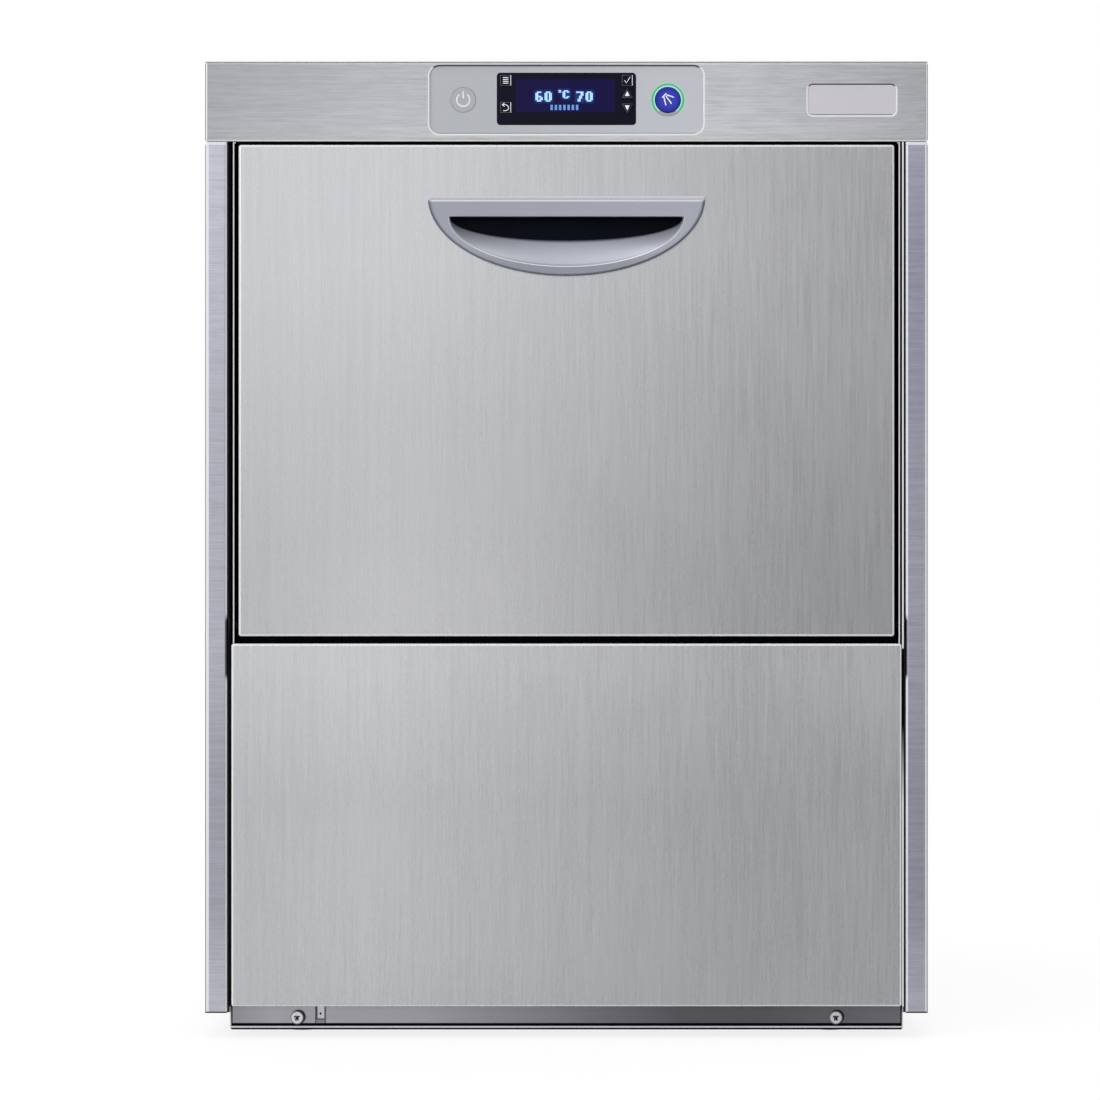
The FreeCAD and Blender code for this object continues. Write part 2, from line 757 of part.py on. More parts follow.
def rear_panel():
    """The back cover, with holes for the connectors and two rows of ventilation slots."""
    half = HALF - S.column_width - S.seam
    panel = new_body("rear_panel")
    sheet_y = (REAR_INSIDE, BACK)
    through = (REAR_INSIDE - S.sheet, BACK + S.sheet)
    block(panel, "Pad", "y", (-half, half), sheet_y, (FLOOR, LID_UNDER - S.seam))
    for place_xz, radius in ((INLET, S.inlet_radius + S.service_neck), (DRAIN, S.drain_radius + S.service_neck),
                              (GLAND, S.gland_radius - S.gland_shoulder)):
        disc(panel, "Pocket", "y", place_xz, through, radius + S.service_hole_play)
    pitch = S.louvre_slot * 2
    width = S.louvre_slot + pitch * (LOUVRES - 1)
    for row_z in (S.louvre_rise, S.louvre_rise + S.louvre_row_pitch):
        sketch = new_sketch(panel, "y", -width / 2, row_z, (REAR_INSIDE + BACK) / 2)
        for slot in range(LOUVRES):
            polygon(sketch, [(pitch * slot, 0), (pitch * slot + S.louvre_slot, 0),
                             (pitch * slot + S.louvre_slot, S.louvre_height),
                             (pitch * slot, S.louvre_height)])
        extrude(panel, "Pocket", sketch, S.sheet * 3)
    return panel


def lower_front_panel():
    """The service panel below the door. Two lugs behind the base strip take its screws; a tab locates it."""
    half = CHASSIS_IN - S.seam
    panel = folded("lower_panel_sheet", (-half, half), (FRONT, FRONT + S.lower_depth),
                   (LOWER_BOTTOM, LOWER_TOP),
                   ("+y",), S.sheet, S.bend)
    root = LOWER_BOTTOM + S.sheet
    pieces = [panel]
    for side, name in ((-1, "left_lug"), (1, "right_lug")):
        pieces.append(bar(name, centred(side * FRONT_SCREW_X, S.lug_width),
                          (STRIP_BACK, STRIP_BACK + S.sheet),
                          (FRONT_SCREW_Z - S.lug_width / 2 + S.seam, root)))
    pieces.append(bar("locating_tab", centred(TAB_X, S.tab_width), (STRIP_FRONT, STRIP_FRONT + S.sheet),
                      (LOWER_BOTTOM - S.tab_length, root)))
    holes = [rod(f"{name}_hole", "y", (side * FRONT_SCREW_X, FRONT_SCREW_Z),
                 (STRIP_BACK - S.sheet, STRIP_BACK + S.bend),
                 S.screw_shank + S.screw_play) for side, name in ((-1, "left_lug"), (1, "right_lug"))]
    return cut("lower_front_panel", fuse("lower_panel_with_lugs", *pieces), *holes)


def front_panel_screws():
    """Two pan head screws with cross recesses, and the nuts behind the lugs."""
    screws = []
    for side, name in ((-1, "left_screw"), (1, "right_screw")):
        centre = (side * FRONT_SCREW_X, FRONT_SCREW_Z)
        head_y = STRIP_FRONT - S.screw_head_height
        nut_y = STRIP_BACK + S.sheet
        nut = (nut_y, nut_y + S.screw_nut)
        whole = fuse(name + "_solid", rod(name + "_head", "y", centre, (head_y, STRIP_FRONT), S.screw_head),
                     rod(name + "_shank", "y", centre, (STRIP_FRONT, nut[1]), S.screw_shank),
                     rod(name + "_nut", "y", centre, nut, S.screw_head))
        cross = (head_y - S.sheet, head_y + S.screw_head_height / 2)
        screws.append(cut(
            name, whole,
            bar(name + "_cross_bar", centred(centre[0], S.screw_head), cross,
                centred(centre[1], S.screw_cross)),
            bar(name + "_cross_post", centred(centre[0], S.screw_cross), cross,
                centred(centre[1], S.screw_head))))
    return group("front_panel_screws", *screws)


LOUVRES = 14
INLET = (-S.inlet_offset, FLOOR + S.inlet_rise)
DRAIN = (S.drain_offset, FLOOR + S.service_rise)
GLAND = (S.gland_offset, FLOOR + S.service_rise + S.gland_lift)

node(top_lid())
node(side_panel("left_side_panel", -1))
node(side_panel("right_side_panel", 1))
node(rear_panel())
node(lower_front_panel())
node(front_panel_screws())


# --- fascia and controls ---------------------------------------------------------------------------------

def pressed_pan(body, x, z, y, depth, corner, wall):
    """A flat pan with rounded corners, drawn out of a sheet: y is the span of its walls behind that sheet."""
    block(body, "Pad", "y", (x[0] - wall, x[1] + wall), y, (z[0] - wall, z[1] + wall))
    block(body, "Pocket", "y", x, depth, z)
    round_edges(body, corner,
                lambda e: runs_along(e, "y") and is_within(e, "x", *x) and is_within(e, "z", *z))
    round_edges(body, corner + wall, lambda e: runs_along(e, "y") and is_within(e, "y", *y)
                and is_within(e, "x", x[0] - wall, x[1] + wall)
                and is_within(e, "z", z[0] - wall, z[1] + wall))


def pressed_recess(body, x, z, depth, corner):
    """A flat recess pressed into a front sheet, with rolled edges."""
    pressed_pan(body, x, z, (FRONT + S.sheet, FRONT + depth + S.sheet), (FRONT - depth, FRONT + depth),
                corner,
                S.drawn_wall)
    round_edges(body, S.recess_round, lambda e: lies_at(e, "y", FRONT) and is_within(e, "x", *x)
                and is_within(e, "z", *z))


def control_fascia():
    """The folded front of the control panel, pressed in for the keypad and for the plate at the right."""
    fascia = folded("control_fascia", (-HALF, HALF), (FRONT, FRONT + S.fascia_depth),
                    (FASCIA_BOTTOM, LID_UNDER),
                    ("+y",), S.sheet, S.bend)
    pressed_recess(fascia, centred(0, S.panel_width), (PANEL_BOTTOM, PANEL_TOP), S.recess_depth,
                   S.panel_corner)
    pressed_recess(fascia, BADGE_X, BADGE_Z, S.badge_recess, S.badge_corner)
    window = S.panel_width / 2 - S.panel_border
    block(fascia, "Pocket", "y", (-window, window), (RECESS_FLOOR - S.sheet, RECESS_FLOOR + S.sheet * 2),
          (PANEL_BOTTOM + S.panel_border, PANEL_TOP - S.panel_border))
    return fascia


def control_overlay():
    """The moulded keypad face, bonded to the floor of the recess."""
    gap = S.key_play
    overlay = new_body("control_overlay")
    sheet_y = (OVERLAY_FACE, RECESS_FLOOR)
    x = centred(0, S.panel_width - gap * 2)
    block(overlay, "Pad", "y", x, sheet_y, (PANEL_BOTTOM + gap, PANEL_TOP - gap))
    round_edges(overlay, S.panel_corner - gap, lambda e: runs_along(e, "y"))
    through = (OVERLAY_FACE - S.sheet, RECESS_FLOOR + S.sheet)
    disc(overlay, "Pocket", "y", (-S.power_key_offset, KEY_Z), through, S.round_key_radius + gap)
    disc(overlay, "Pocket", "y", (S.start_key_offset, KEY_Z), through, RING_OUTSIDE + gap)
    block(overlay, "Pocket", "y", centred(0, S.display_width + gap * 2), through,
          (DISPLAY_BOTTOM - gap, DISPLAY_TOP + gap))
    opening = centred(0, S.display_width + gap * 2)
    round_edges(overlay, S.display_corner + gap, lambda e: runs_along(e, "y") and is_within(e, "x", *opening)
                and is_within(e, "z", DISPLAY_BOTTOM - gap, DISPLAY_TOP + gap))
    return overlay


def display_window():
    """The dark lens over the screen, with five square holes for its keys."""
    lens = new_body("display_window")
    lens_y = (OVERLAY_FACE, OVERLAY_FACE + S.lens_sheet)
    block(lens, "Pad", "y", centred(0, S.display_width), lens_y, (DISPLAY_BOTTOM, DISPLAY_TOP))
    round_edges(lens, S.display_corner, lambda e: runs_along(e, "y"))
    hole = S.small_key + S.key_play * 2
    for key_x, key_z in SMALL_KEYS.values():
        block(lens, "Pocket", "y", centred(key_x, hole), (lens_y[0] - S.sheet, lens_y[1] + S.sheet),
              centred(key_z, hole))
    return lens


def small_key(name, centre):
    """A square key with a stem that reaches its switch."""
    cap = (OVERLAY_FACE - S.key_proud, OVERLAY_FACE + S.lens_sheet)
    key = new_body(name)
    block(key, "Pad", "y", centred(centre[0], S.small_key), cap, centred(centre[1], S.small_key))
    round_edges(key, S.key_proud, lambda e: lies_at(e, "y", cap[0]))
    disc(key, "Pad", "y", centre, (cap[1], SWITCH_Y - S.key_travel), S.key_stem)
    return key


def round_key(name, centre, proud, travel):
    """A round key with a stem that reaches its switch."""
    cap = (OVERLAY_FACE - proud, OVERLAY_FACE + S.lens_sheet)
    key = new_body(name)
    disc(key, "Pad", "y", centre, cap, S.round_key_radius)
    round_edges(key, S.key_proud, lambda e: lies_at(e, "y", cap[0]))
    disc(key, "Pad", "y", centre, (cap[1], SWITCH_Y - travel), S.key_stem)
    return key


def control_board():
    """The circuit board, held off the fascia by studs, with the screen and a switch behind each key."""
    board_y = (SWITCH_Y + S.switch_height, SWITCH_Y + S.switch_height + S.board_sheet)
    half = S.panel_width / 2 - S.stud_inset + S.stud_boss
    pieces = [bar("board_sheet", (-half, half), board_y,
                  (PANEL_BOTTOM + S.stud_inset - S.stud_boss, PANEL_TOP - S.stud_inset + S.stud_boss))]
    keys = list(SMALL_KEYS.values()) + [(-S.power_key_offset, KEY_Z), (S.start_key_offset, KEY_Z)]
    for number, (key_x, key_z) in enumerate(keys, start=1):
        pieces.append(bar(f"switch_{number}", centred(key_x, S.key_stem * 2), (SWITCH_Y, board_y[0]),
                          centred(key_z, S.key_stem * 2)))
    for stud_x in (-1, 1):
        for stud_z in (PANEL_BOTTOM + S.stud_inset, PANEL_TOP - S.stud_inset):
            centre = (stud_x * (S.panel_width / 2 - S.stud_inset), stud_z)
            pieces.append(rod(f"stud_{len(pieces)}", "y", centre, (RECESS_FLOOR + S.sheet, board_y[0]),
                              S.stud_boss))
    screen_back = OVERLAY_FACE + S.lens_sheet
    pieces.append(bar("screen", centred(0, S.screen_width), (screen_back, board_y[0]),
                      centred(SCREEN_Z, S.screen_height)))
    return fuse("control_board", *pieces)


def start_light_ring():
    """A light guide round the start key."""
    centre = (S.start_key_offset, KEY_Z)
    return tube("start_light_ring", "y", centre, (OVERLAY_FACE - S.key_proud, OVERLAY_FACE + S.lens_sheet),
                RING_OUTSIDE, S.round_key_radius + S.ring_gap)


def badge_plate():
    """A bare plate set into its recess."""
    gap = S.key_play
    plate = new_body("badge_plate")
    block(plate, "Pad", "y", (BADGE_X[0] + gap, BADGE_X[1] - gap),
          (FRONT + S.badge_recess - S.badge_sheet, FRONT + S.badge_recess),
          (BADGE_Z[0] + gap, BADGE_Z[1] - gap))
    round_edges(plate, S.badge_corner - gap, lambda e: runs_along(e, "y"))
    return plate


BADGE_X = (HALF - S.badge_inset - S.badge_width, HALF - S.badge_inset)
BADGE_Z = (TOP - S.badge_drop - S.badge_height, TOP - S.badge_drop)
RING_OUTSIDE = S.round_key_radius + S.ring_gap + S.ring_width
SWITCH_Y = RECESS_FLOOR + S.sheet + S.switch_gap
SCREEN_Z = KEY_Z + S.screen_lift
KEY_ROWS = (KEY_Z + S.small_key_rise + S.small_key_pitch, KEY_Z + S.small_key_rise,
            KEY_Z + S.small_key_rise - S.small_key_pitch)
SMALL_KEYS = {
    "menu_key": (-S.small_key_offset, KEY_ROWS[0]),
    "back_key": (-S.small_key_offset, KEY_ROWS[2]),
    "confirm_key": (S.small_key_offset, KEY_ROWS[0]),
    "up_key": (S.small_key_offset, KEY_ROWS[1]),
    "down_key": (S.small_key_offset, KEY_ROWS[2]),
}

node(control_fascia())
node(control_overlay())
node(display_window())
for key_name, key_place in SMALL_KEYS.items():
    node(small_key(key_name, key_place))
node(round_key("power_button", (-S.power_key_offset, KEY_Z), S.key_proud, S.power_key_travel))
node(round_key("start_button", (S.start_key_offset, KEY_Z), S.start_proud, S.start_key_travel))
node(start_light_ring())
node(control_board())
node(badge_plate())


# --- door ------------------------------------------------------------------------------------------------

def half_oval(half_width, drop, top, y):
    """The outline of a half ellipse with its flat side up at top, in the plane at y."""
    centre = vector(0, y, top)
    across_x, down_z = vector(half_width, 0, 0), vector(0, 0, drop)
    oval = Part.Ellipse(centre + across_x, centre - down_z, centre)
    return Part.Wire([oval.toShape(0, math.pi), Part.makeLine(centre - across_x, centre + across_x)])


def oval_slab(half_width, drop, top, y):
    """A slab of that outline between two planes."""
    low, high = length(y[0]), length(y[1])
    return Part.Face(half_oval(half_width, drop, top, low)).extrude(vector(0, high - low, 0))


def box_between(x, y, z):
    size = vector(length(x[1]) - x[0], length(y[1]) - y[0], length(z[1]) - z[0])
    return Part.makeBox(size.x, size.y, size.z, vector(x[0], y[0], z[0]))


def cup_space(grow):
    """The space inside the handle: a bowl that slopes back to a throat, and finger room up behind the grip."""
    top = GRIP_BOTTOM
    mouth, throat = FRONT - S.handle_proud, FRONT + S.throat_setback
    back = FRONT - S.handle_proud + S.cup_depth + grow
    half_width, throat_half = S.cup_width / 2 + grow, S.cup_width / 2 - S.throat_inset + grow
    bowl = Part.makeLoft([half_oval(half_width, S.cup_height + grow, top, mouth),
                          half_oval(throat_half, S.throat_height + grow, top, throat)], True, True)
    hollow_back = oval_slab(throat_half, S.throat_height + grow, top, (throat, back))
    fingers = box_between((-throat_half, throat_half), (FRONT + S.grip_sheet - grow, back),
                          (top, HANDLE_TOP - S.handle_wall * 2 + grow))
    return bowl.multiFuse([hollow_back, fingers]).removeSplitter()


def door_handle():
    """The moulded grip: a half oval face that stands proud of the door, round a cup for the fingers."""
    half_width, drop, bevel = S.handle_width / 2, S.handle_height, S.handle_bevel
    front = FRONT - S.handle_proud
    face = Part.makeLoft([half_oval(half_width, drop, HANDLE_TOP, FRONT),
                          half_oval(half_width, drop, HANDLE_TOP, front + bevel),
                          half_oval(half_width - bevel, drop - bevel * 2, HANDLE_TOP - bevel, front)],
                         True, True)
    cup = cup_space(S.handle_wall).common(
        box_between((-HALF, HALF), (FRONT - bevel, DOOR_BACK), (PIVOT_Z, DOOR_TOP)))
    return shaped("door_handle", face.fuse(cup).cut(cup_space(length(0))))


def door_outer_skin():
    """The folded front of the door, cut out for the handle and drilled for the hinge shafts."""
    skin = folded("door_sheet", (-DOOR_HALF, DOOR_HALF), (FRONT, DOOR_BACK), (DOOR_BOTTOM, DOOR_TOP),
                  ("+y",),
                  S.sheet, S.bend)
    grow = S.handle_wall + S.seam
    top = HANDLE_TOP - S.handle_wall * 2 + grow
    opening = shaped("handle_opening", oval_slab(S.cup_width / 2 + grow, S.cup_height + grow, GRIP_BOTTOM,
                                                 (FRONT - S.sheet, FRONT + S.sheet * 2)).fuse(
        box_between((-S.cup_width / 2 - grow, S.cup_width / 2 + grow),
                    (FRONT - S.sheet, FRONT + S.sheet * 2),
                    (GRIP_BOTTOM, top))))
    holes = [rod(f"{name}_shaft_hole", "x", (PIVOT_Y, PIVOT_Z),
                 across(side, DOOR_HALF - S.sheet * 3, DOOR_HALF + S.sheet),
                 S.hinge_radius + S.shaft_hole_play)
             for side, name in ((-1, "left"), (1, "right"))]
    return cut("door_outer_skin", skin, opening, *holes)


def door_inner_panel():
    """The liner that closes the back of the door, its middle raised into the chamber mouth."""
    half = DOOR_HALF - S.sheet
    z = (DOOR_BOTTOM + S.sheet, DOOR_TOP - S.sheet)
    liner = folded("door_inner_panel", (-half, half), (DOOR_BACK - S.liner_flange, DOOR_BACK), z, ("-y",),
                   S.sheet, S.bend)
    pan_x = (-DOOR_HALF + S.door_panel_margin, DOOR_HALF - S.door_panel_margin)
    pan_z = (SILL + S.pan_rise, CEILING - S.pan_rise)
    metal = S.sheet
    pressed_pan(liner, (pan_x[0] + metal, pan_x[1] - metal), (pan_z[0] + metal, pan_z[1] - metal),
                (DOOR_BACK, DOOR_BACK + S.door_panel_raise),
                (DOOR_BACK - metal * 2, DOOR_BACK + S.door_panel_raise - metal), S.pan_corner, metal)
    return liner


def hinge_arm(name, side):
    """The hinge block inside the door, its shaft, and the lever outside the chassis wall for the spring."""
    centre = (PIVOT_Y, PIVOT_Z)
    inner = DOOR_HALF - S.sheet - S.bend
    low = DOOR_BOTTOM + S.sheet + S.bend
    reach = (PIVOT_Y, SPRING_Y)
    return fuse(
        name,
        bar(name + "_block", across(side, inner - S.hinge_block, inner),
            (FRONT + S.sheet, DOOR_BACK - S.sheet),
            (low, low + S.hinge_block * 2)),
        rod(name + "_shaft", "x", centre, across(side, inner, LEVER_X[1] + S.sheet), S.hinge_radius),
        rod(name + "_hub", "x", centre, across(side, *LEVER_X), S.lever_width / 2),
        bar(name + "_lever", across(side, *LEVER_X), reach, centred(PIVOT_Z, S.lever_width)),
        rod(name + "_tip", "x", (SPRING_Y, PIVOT_Z), across(side, *LEVER_X), S.lever_width / 2),
        rod(name + "_pin", "x", (SPRING_Y, PIVOT_Z), across(side, LEVER_X[1], SPRING_X + S.spring_radius),
            S.spring_pin))


def door_springs():
    """Two extension springs, each from its lever down to the chassis, wound as a plain sleeve with end eyes."""
    eye = S.spring_pin + S.spring_play
    pieces = []
    for side, name in ((-1, "left_spring"), (1, "right_spring")):
        coil = (SPRING_FOOT_Z + eye + S.spring_wire * 2, PIVOT_Z - eye - S.spring_wire * 2)
        centre_x = SPRING_X * side
        pieces.append(tube(name + "_coil", "z", (centre_x, SPRING_Y), coil, S.spring_radius,
                           S.spring_radius - S.spring_wire))
        for end, z in (("foot", SPRING_FOOT_Z), ("head", PIVOT_Z)):
            pieces.append(tube(f"{name}_{end}_eye", "x", (SPRING_Y, z), centred(centre_x, S.spring_wire * 2),
                               eye + S.spring_wire * 2 + S.thread_play, eye))
    return group("door_springs", *pieces)


def hinge_bushes():
    """A flanged bush in each chassis wall."""
    bore = S.hinge_radius + S.hinge_play
    bushes = []
    for side, name in ((-1, "left_bush"), (1, "right_bush")):
        centre = (PIVOT_Y, PIVOT_Z)
        whole = fuse(name + "_solid",
                     rod(name + "_sleeve", "x", centre, across(side, CHASSIS_IN, CHASSIS), BUSH_RADIUS),
                     rod(name + "_flange", "x", centre, across(side, CHASSIS, CHASSIS + S.bush_flange),
                         BUSH_RADIUS + S.bush_wall))
        bushes.append(cut(name, whole, rod(name + "_bore", "x", centre,
                                           across(side, CHASSIS_IN - S.sheet, CHASSIS + S.sheet * 2), bore)))
    return group("hinge_bushes", *bushes)


HANDLE_TOP = DOOR_TOP - S.handle_drop
GRIP_BOTTOM = HANDLE_TOP - S.grip_height

node(door_outer_skin())
node(door_inner_panel())
node(door_handle())
node(hinge_arm("left_hinge_arm", -1))
node(hinge_arm("right_hinge_arm", 1))
node(door_springs())
node(hinge_bushes())


# --- front frame and seal --------------------------------------------------------------------------------

def door_frame():
    """The front frame round the chamber mouth, with a lip that runs forward beside and above the door."""
    frame = new_body("door_frame_sheet")
    top = FASCIA_BOTTOM - S.seam
    block(frame, "Pad", "y", (-CHASSIS_IN, CHASSIS_IN), (FRAME_Y, CHAMBER_FRONT), (LOWER_TOP, top))
    metal = S.sheet
    front = FRONT + S.frame_lip_setback
    block(frame, "Pad", "y", (-FRAME_LIP, FRAME_LIP), (front, FRAME_Y), (LOWER_TOP, top))
    block(frame, "Pocket", "y", (-(FRAME_LIP - metal), FRAME_LIP - metal), (front, FRAME_Y),
          (LOWER_TOP, top - metal))
    mouth = CHAMBER_HALF - metal
    block(frame, "Pocket", "y", (-mouth, mouth), (FRAME_Y - metal, CHAMBER_FRONT + metal),
          (SILL, CEILING - metal))
    holes = [rod(f"{name}_frame_hole", "x", (PIVOT_Y, PIVOT_Z),
                 across(side, FRAME_LIP - metal * 2, FRAME_LIP + metal),
                 S.hinge_radius + S.shaft_hole_play) for side, name in ((-1, "left"), (1, "right"))]
    return cut("door_frame", frame, *holes)


def door_seal():
    """The rubber seal on the frame. The closed door stops just short of it."""
    seal = new_body("door_seal")
    inner = CHAMBER_HALF + S.sheet
    y = (DOOR_BACK + S.seal_play, FRAME_Y)
    low, high = SILL - S.seal_drop, CEILING + S.seal_drop
    block(seal, "Pad", "y", (-(inner + S.seal_width), inner + S.seal_width), y,
          (low - S.seal_width, high + S.seal_width))
    round_edges(seal, S.seal_width, lambda e: runs_along(e, "y"))
    block(seal, "Pocket", "y", (-inner, inner), y, (low, high))
    return seal


node(door_frame())
node(door_seal())


# --- wash chamber and tank -------------------------------------------------------------------------------

def rounded_block(label, x, y, z, radius):
    """A block with every edge rounded but those of its top."""
    body = new_body(label)
    block(body, "Pad", "z", x, y, z)
    round_edges(body, radius, lambda e: not lies_at(e, "z", z[1]))
    return body


def wash_chamber():
    """The roof, side walls and back of the chamber, welded into one shell with a rack rail on each side."""
    shell = folded("chamber_sheet", (-CHAMBER_HALF, CHAMBER_HALF), (CHAMBER_FRONT, CHAMBER_BACK + S.sheet),
                   (TANK_TOP, CEILING), ("-y", "-z"), S.sheet, S.chamber_bend)
    wall = CHAMBER_HALF - S.sheet
    shelf = (RAIL_TOP - S.heavy_sheet, RAIL_TOP)
    rails = []
    for side, name in ((-1, "left_rail"), (1, "right_rail")):
        rails += [bar(name + "_shelf", across(side, wall - S.rail_width, wall), RAIL_Y, shelf),
                  bar(name + "_flange", across(side, wall - S.heavy_sheet, wall), RAIL_Y,
                      (shelf[0] - S.rail_flange, shelf[0]))]
    hole = rod("roof_hole", "z", (0, ARM_Y), (CEILING - S.sheet * 2, CEILING + S.sheet),
               S.stem_radius + S.screw_play)
    return cut("wash_chamber", fuse("chamber_with_rails", shell, *rails), hole)


def wash_tank():
    """The drawn tank with its rim, a ledge for the strainer on each side, and the sump well in its floor."""
    rim = bar("tank_rim_sheet", (-CHAMBER_HALF, CHAMBER_HALF), (CHAMBER_FRONT, CHAMBER_BACK + S.sheet),
              (TANK_TOP - S.sheet, TANK_TOP))
    inner_x = (-(S.tank_width / 2 - S.sheet), S.tank_width / 2 - S.sheet)
    inner_y = (TANK_Y[0] + S.sheet, TANK_Y[1] - S.sheet)
    outside = rounded_block("tank_outside", centred(0, S.tank_width), TANK_Y, (TANK_FLOOR, TANK_TOP),
                            S.tank_bend)
    inside = rounded_block("tank_inside", inner_x, inner_y, (TANK_FLOOR + S.sheet, TANK_TOP + S.tank_bend),
                           S.tank_bend - S.sheet)
    well = rod("sump_outside", "z", SUMP, (SUMP_FLOOR, TANK_FLOOR + S.sheet), S.sump_radius)
    well_inside = rod("sump_inside", "z", SUMP, (SUMP_FLOOR + S.sheet, TANK_FLOOR + S.sheet * 2),
                      S.sump_radius - S.sheet)
    drain = rod("sump_drain", "z", SUMP, (SUMP_FLOOR - S.sheet, SUMP_FLOOR + S.sheet * 2),
                S.drain_pipe - S.pipe_wall)
    suction = rod("sump_suction", "x", (SUMP[1], SUCTION_Z), (SUMP_SIDE - S.sheet, SUMP[0]),
                  S.suction_pipe - S.pipe_wall)
    stem = rod("tank_stem_hole", "z", (0, ARM_Y), (TANK_FLOOR - S.sheet, TANK_FLOOR + S.sheet * 2),
               S.stem_radius + S.screw_play)
    heater = [rod(f"heater_hole_{number}", "x", (y, HEATER_Z),
                  (-(S.tank_width / 2 + S.sheet), inner_x[0] + S.sheet),
                  S.heater_radius + S.screw_play) for number, y in enumerate(HEATER_Y, start=1)]
    ledges = [bar(name, across(side, inner_x[1] - S.ledge, inner_x[1]),
                  (inner_y[0] + S.tank_bend, inner_y[1] - S.tank_bend),
                  (STRAINER_Z - S.seat_gap - S.heavy_sheet, STRAINER_Z - S.seat_gap))
              for side, name in ((-1, "left_ledge"), (1, "right_ledge"))]
    shell = cut("tank_shell", fuse("tank_solid", rim, outside, well), inside, well_inside, drain, suction,
                stem, *heater)
    return fuse("wash_tank", shell, *ledges)


def tank_strainer():
    """Two lift-out strainer plates that meet along the middle, cut out for the arm stem and the sump filter."""
    gap = S.seam
    half = S.tank_width / 2 - S.sheet - gap
    y = (TANK_Y[0] + S.sheet + gap, TANK_Y[1] - S.sheet - gap)
    z = (STRAINER_Z, STRAINER_Z + S.sheet)
    through = (STRAINER_Z - S.sheet, STRAINER_Z + S.sheet * 2)
    plates = []
    for side, name in ((-1, "left_plate"), (1, "right_plate")):
        plate = new_body(name + "_sheet")
        block(plate, "Pad", "z", across(side, gap, half), y, z)
        round_edges(plate, S.tank_bend, lambda e: runs_along(e, "z") and lies_at(e, "x", half * side))
        plates.append(cut(name, plate,
                          rod(name + "_stem_hole", "z", (0, ARM_Y), through, S.stem_radius + S.seam * 4),
                          rod(name + "_filter_hole", "z", SUMP, through, S.filter_radius + S.seam)))
    return group("tank_strainer", *plates)


def sump_filter():
    """The lift-out filter basket: a sleeve that stands in the sump and hangs by its rim from the strainer."""
    body = tube("filter_sleeve", "z", SUMP, (SUMP_FLOOR + S.sheet + S.seat_gap, STRAINER_Z + S.filter_rise),
                S.filter_radius, S.filter_radius - S.sheet)
    rim_z = STRAINER_Z + S.sheet + S.seat_gap
    rim = tube("filter_rim", "z", SUMP, (rim_z, rim_z + S.sheet), S.filter_radius + S.filter_rim,
               S.filter_radius - S.sheet)
    return fuse("sump_filter", body, rim)


def overflow_standpipe():
    """The pipe that plugs the drain and sets the water level; it is pulled up to empty the tank."""
    foot_z = SUMP_FLOOR + S.sheet + S.seat_gap
    return tube("overflow_standpipe", "z", SUMP, (foot_z, STRAINER_Z + S.standpipe_rise), S.standpipe_radius,
                S.standpipe_radius - S.pipe_wall)


def tank_heater():
    """A looped heating element through the tank's left wall, with its terminal plate outside."""
    wall_x = -S.tank_width / 2
    plate = box_between((wall_x - S.heater_plate, wall_x),
                        (HEATER_Y[0] - S.heater_plate * 4, HEATER_Y[1] + S.heater_plate * 4),
                        (HEATER_Z - S.heater_plate * 4, HEATER_Z + S.heater_plate * 4))
    loop_x = wall_x + S.heater_reach
    loop = swept([(wall_x - S.heater_plate * 3, HEATER_Y[0], HEATER_Z), (loop_x, HEATER_Y[0], HEATER_Z),
                  (loop_x, HEATER_Y[1], HEATER_Z), (wall_x - S.heater_plate * 3, HEATER_Y[1], HEATER_Z)],
                 S.heater_radius, S.heater_radius * 5)
    return shaped("tank_heater", loop.fuse(plate))


RAIL_TOP = RACK_BOTTOM - S.seat_gap
RAIL_Y = (CHAMBER_FRONT + S.sheet, CHAMBER_BACK - S.sheet)
TANK_Y = (CHAMBER_FRONT + S.tank_front_ledge, CHAMBER_BACK - S.tank_rear_ledge)
SUMP = (S.tank_width / 2 - S.sump_inset, ARM_Y - S.sump_setback)
SUMP_SIDE = SUMP[0] - S.sump_radius
SUMP_FLOOR = TANK_FLOOR - S.sump_depth
SUCTION_Z = SUMP_FLOOR + S.sump_depth / 2
STRAINER_Z = TANK_TOP - S.strainer_drop
HEATER_Z = TANK_FLOOR + S.tank_bend + S.sheet
HEATER_Y = (ARM_Y - S.heater_loop / 2, ARM_Y + S.heater_loop / 2)

node(wash_chamber())
node(wash_tank())
node(tank_strainer())
node(sump_filter())
node(overflow_standpipe())
node(tank_heater())


# --- spray arms and rack ---------------------------------------------------------------------------------

def stacked(base, way, low, high):
    """A span at two distances from base, going up for way 1 and down for way -1."""
    return (base + low, base + high) if way > 0 else (base - high, base - low)


def arm_spindle(name, base, way, stem_end):
    """A feed stem with a block at its far end, the shoulder and journal that the arms turn on, and the nut."""
    block_far = stem_end - S.manifold_height * way
    return fuse(
        name,
        bar(name + "_manifold", centred(0, S.manifold), centred(ARM_Y, S.manifold),
            (block_far, stem_end) if way > 0 else (stem_end, block_far)),
        rod(name + "_stem", "z", (0, ARM_Y), (stem_end, base) if way > 0 else (base, stem_end),
            S.stem_radius),
        rod(name + "_shoulder", "z", (0, ARM_Y), stacked(base, way, length(0), WASH_ARM[0] - S.seat_gap),
            S.stem_radius + S.shoulder),
        rod(name + "_journal", "z", (0, ARM_Y), stacked(base, way, WASH_ARM[0] - S.seat_gap, KNOB[0]),
            S.spindle_radius),
        rod(name + "_knob", "z", (0, ARM_Y), stacked(base, way, *KNOB), S.knob_radius))


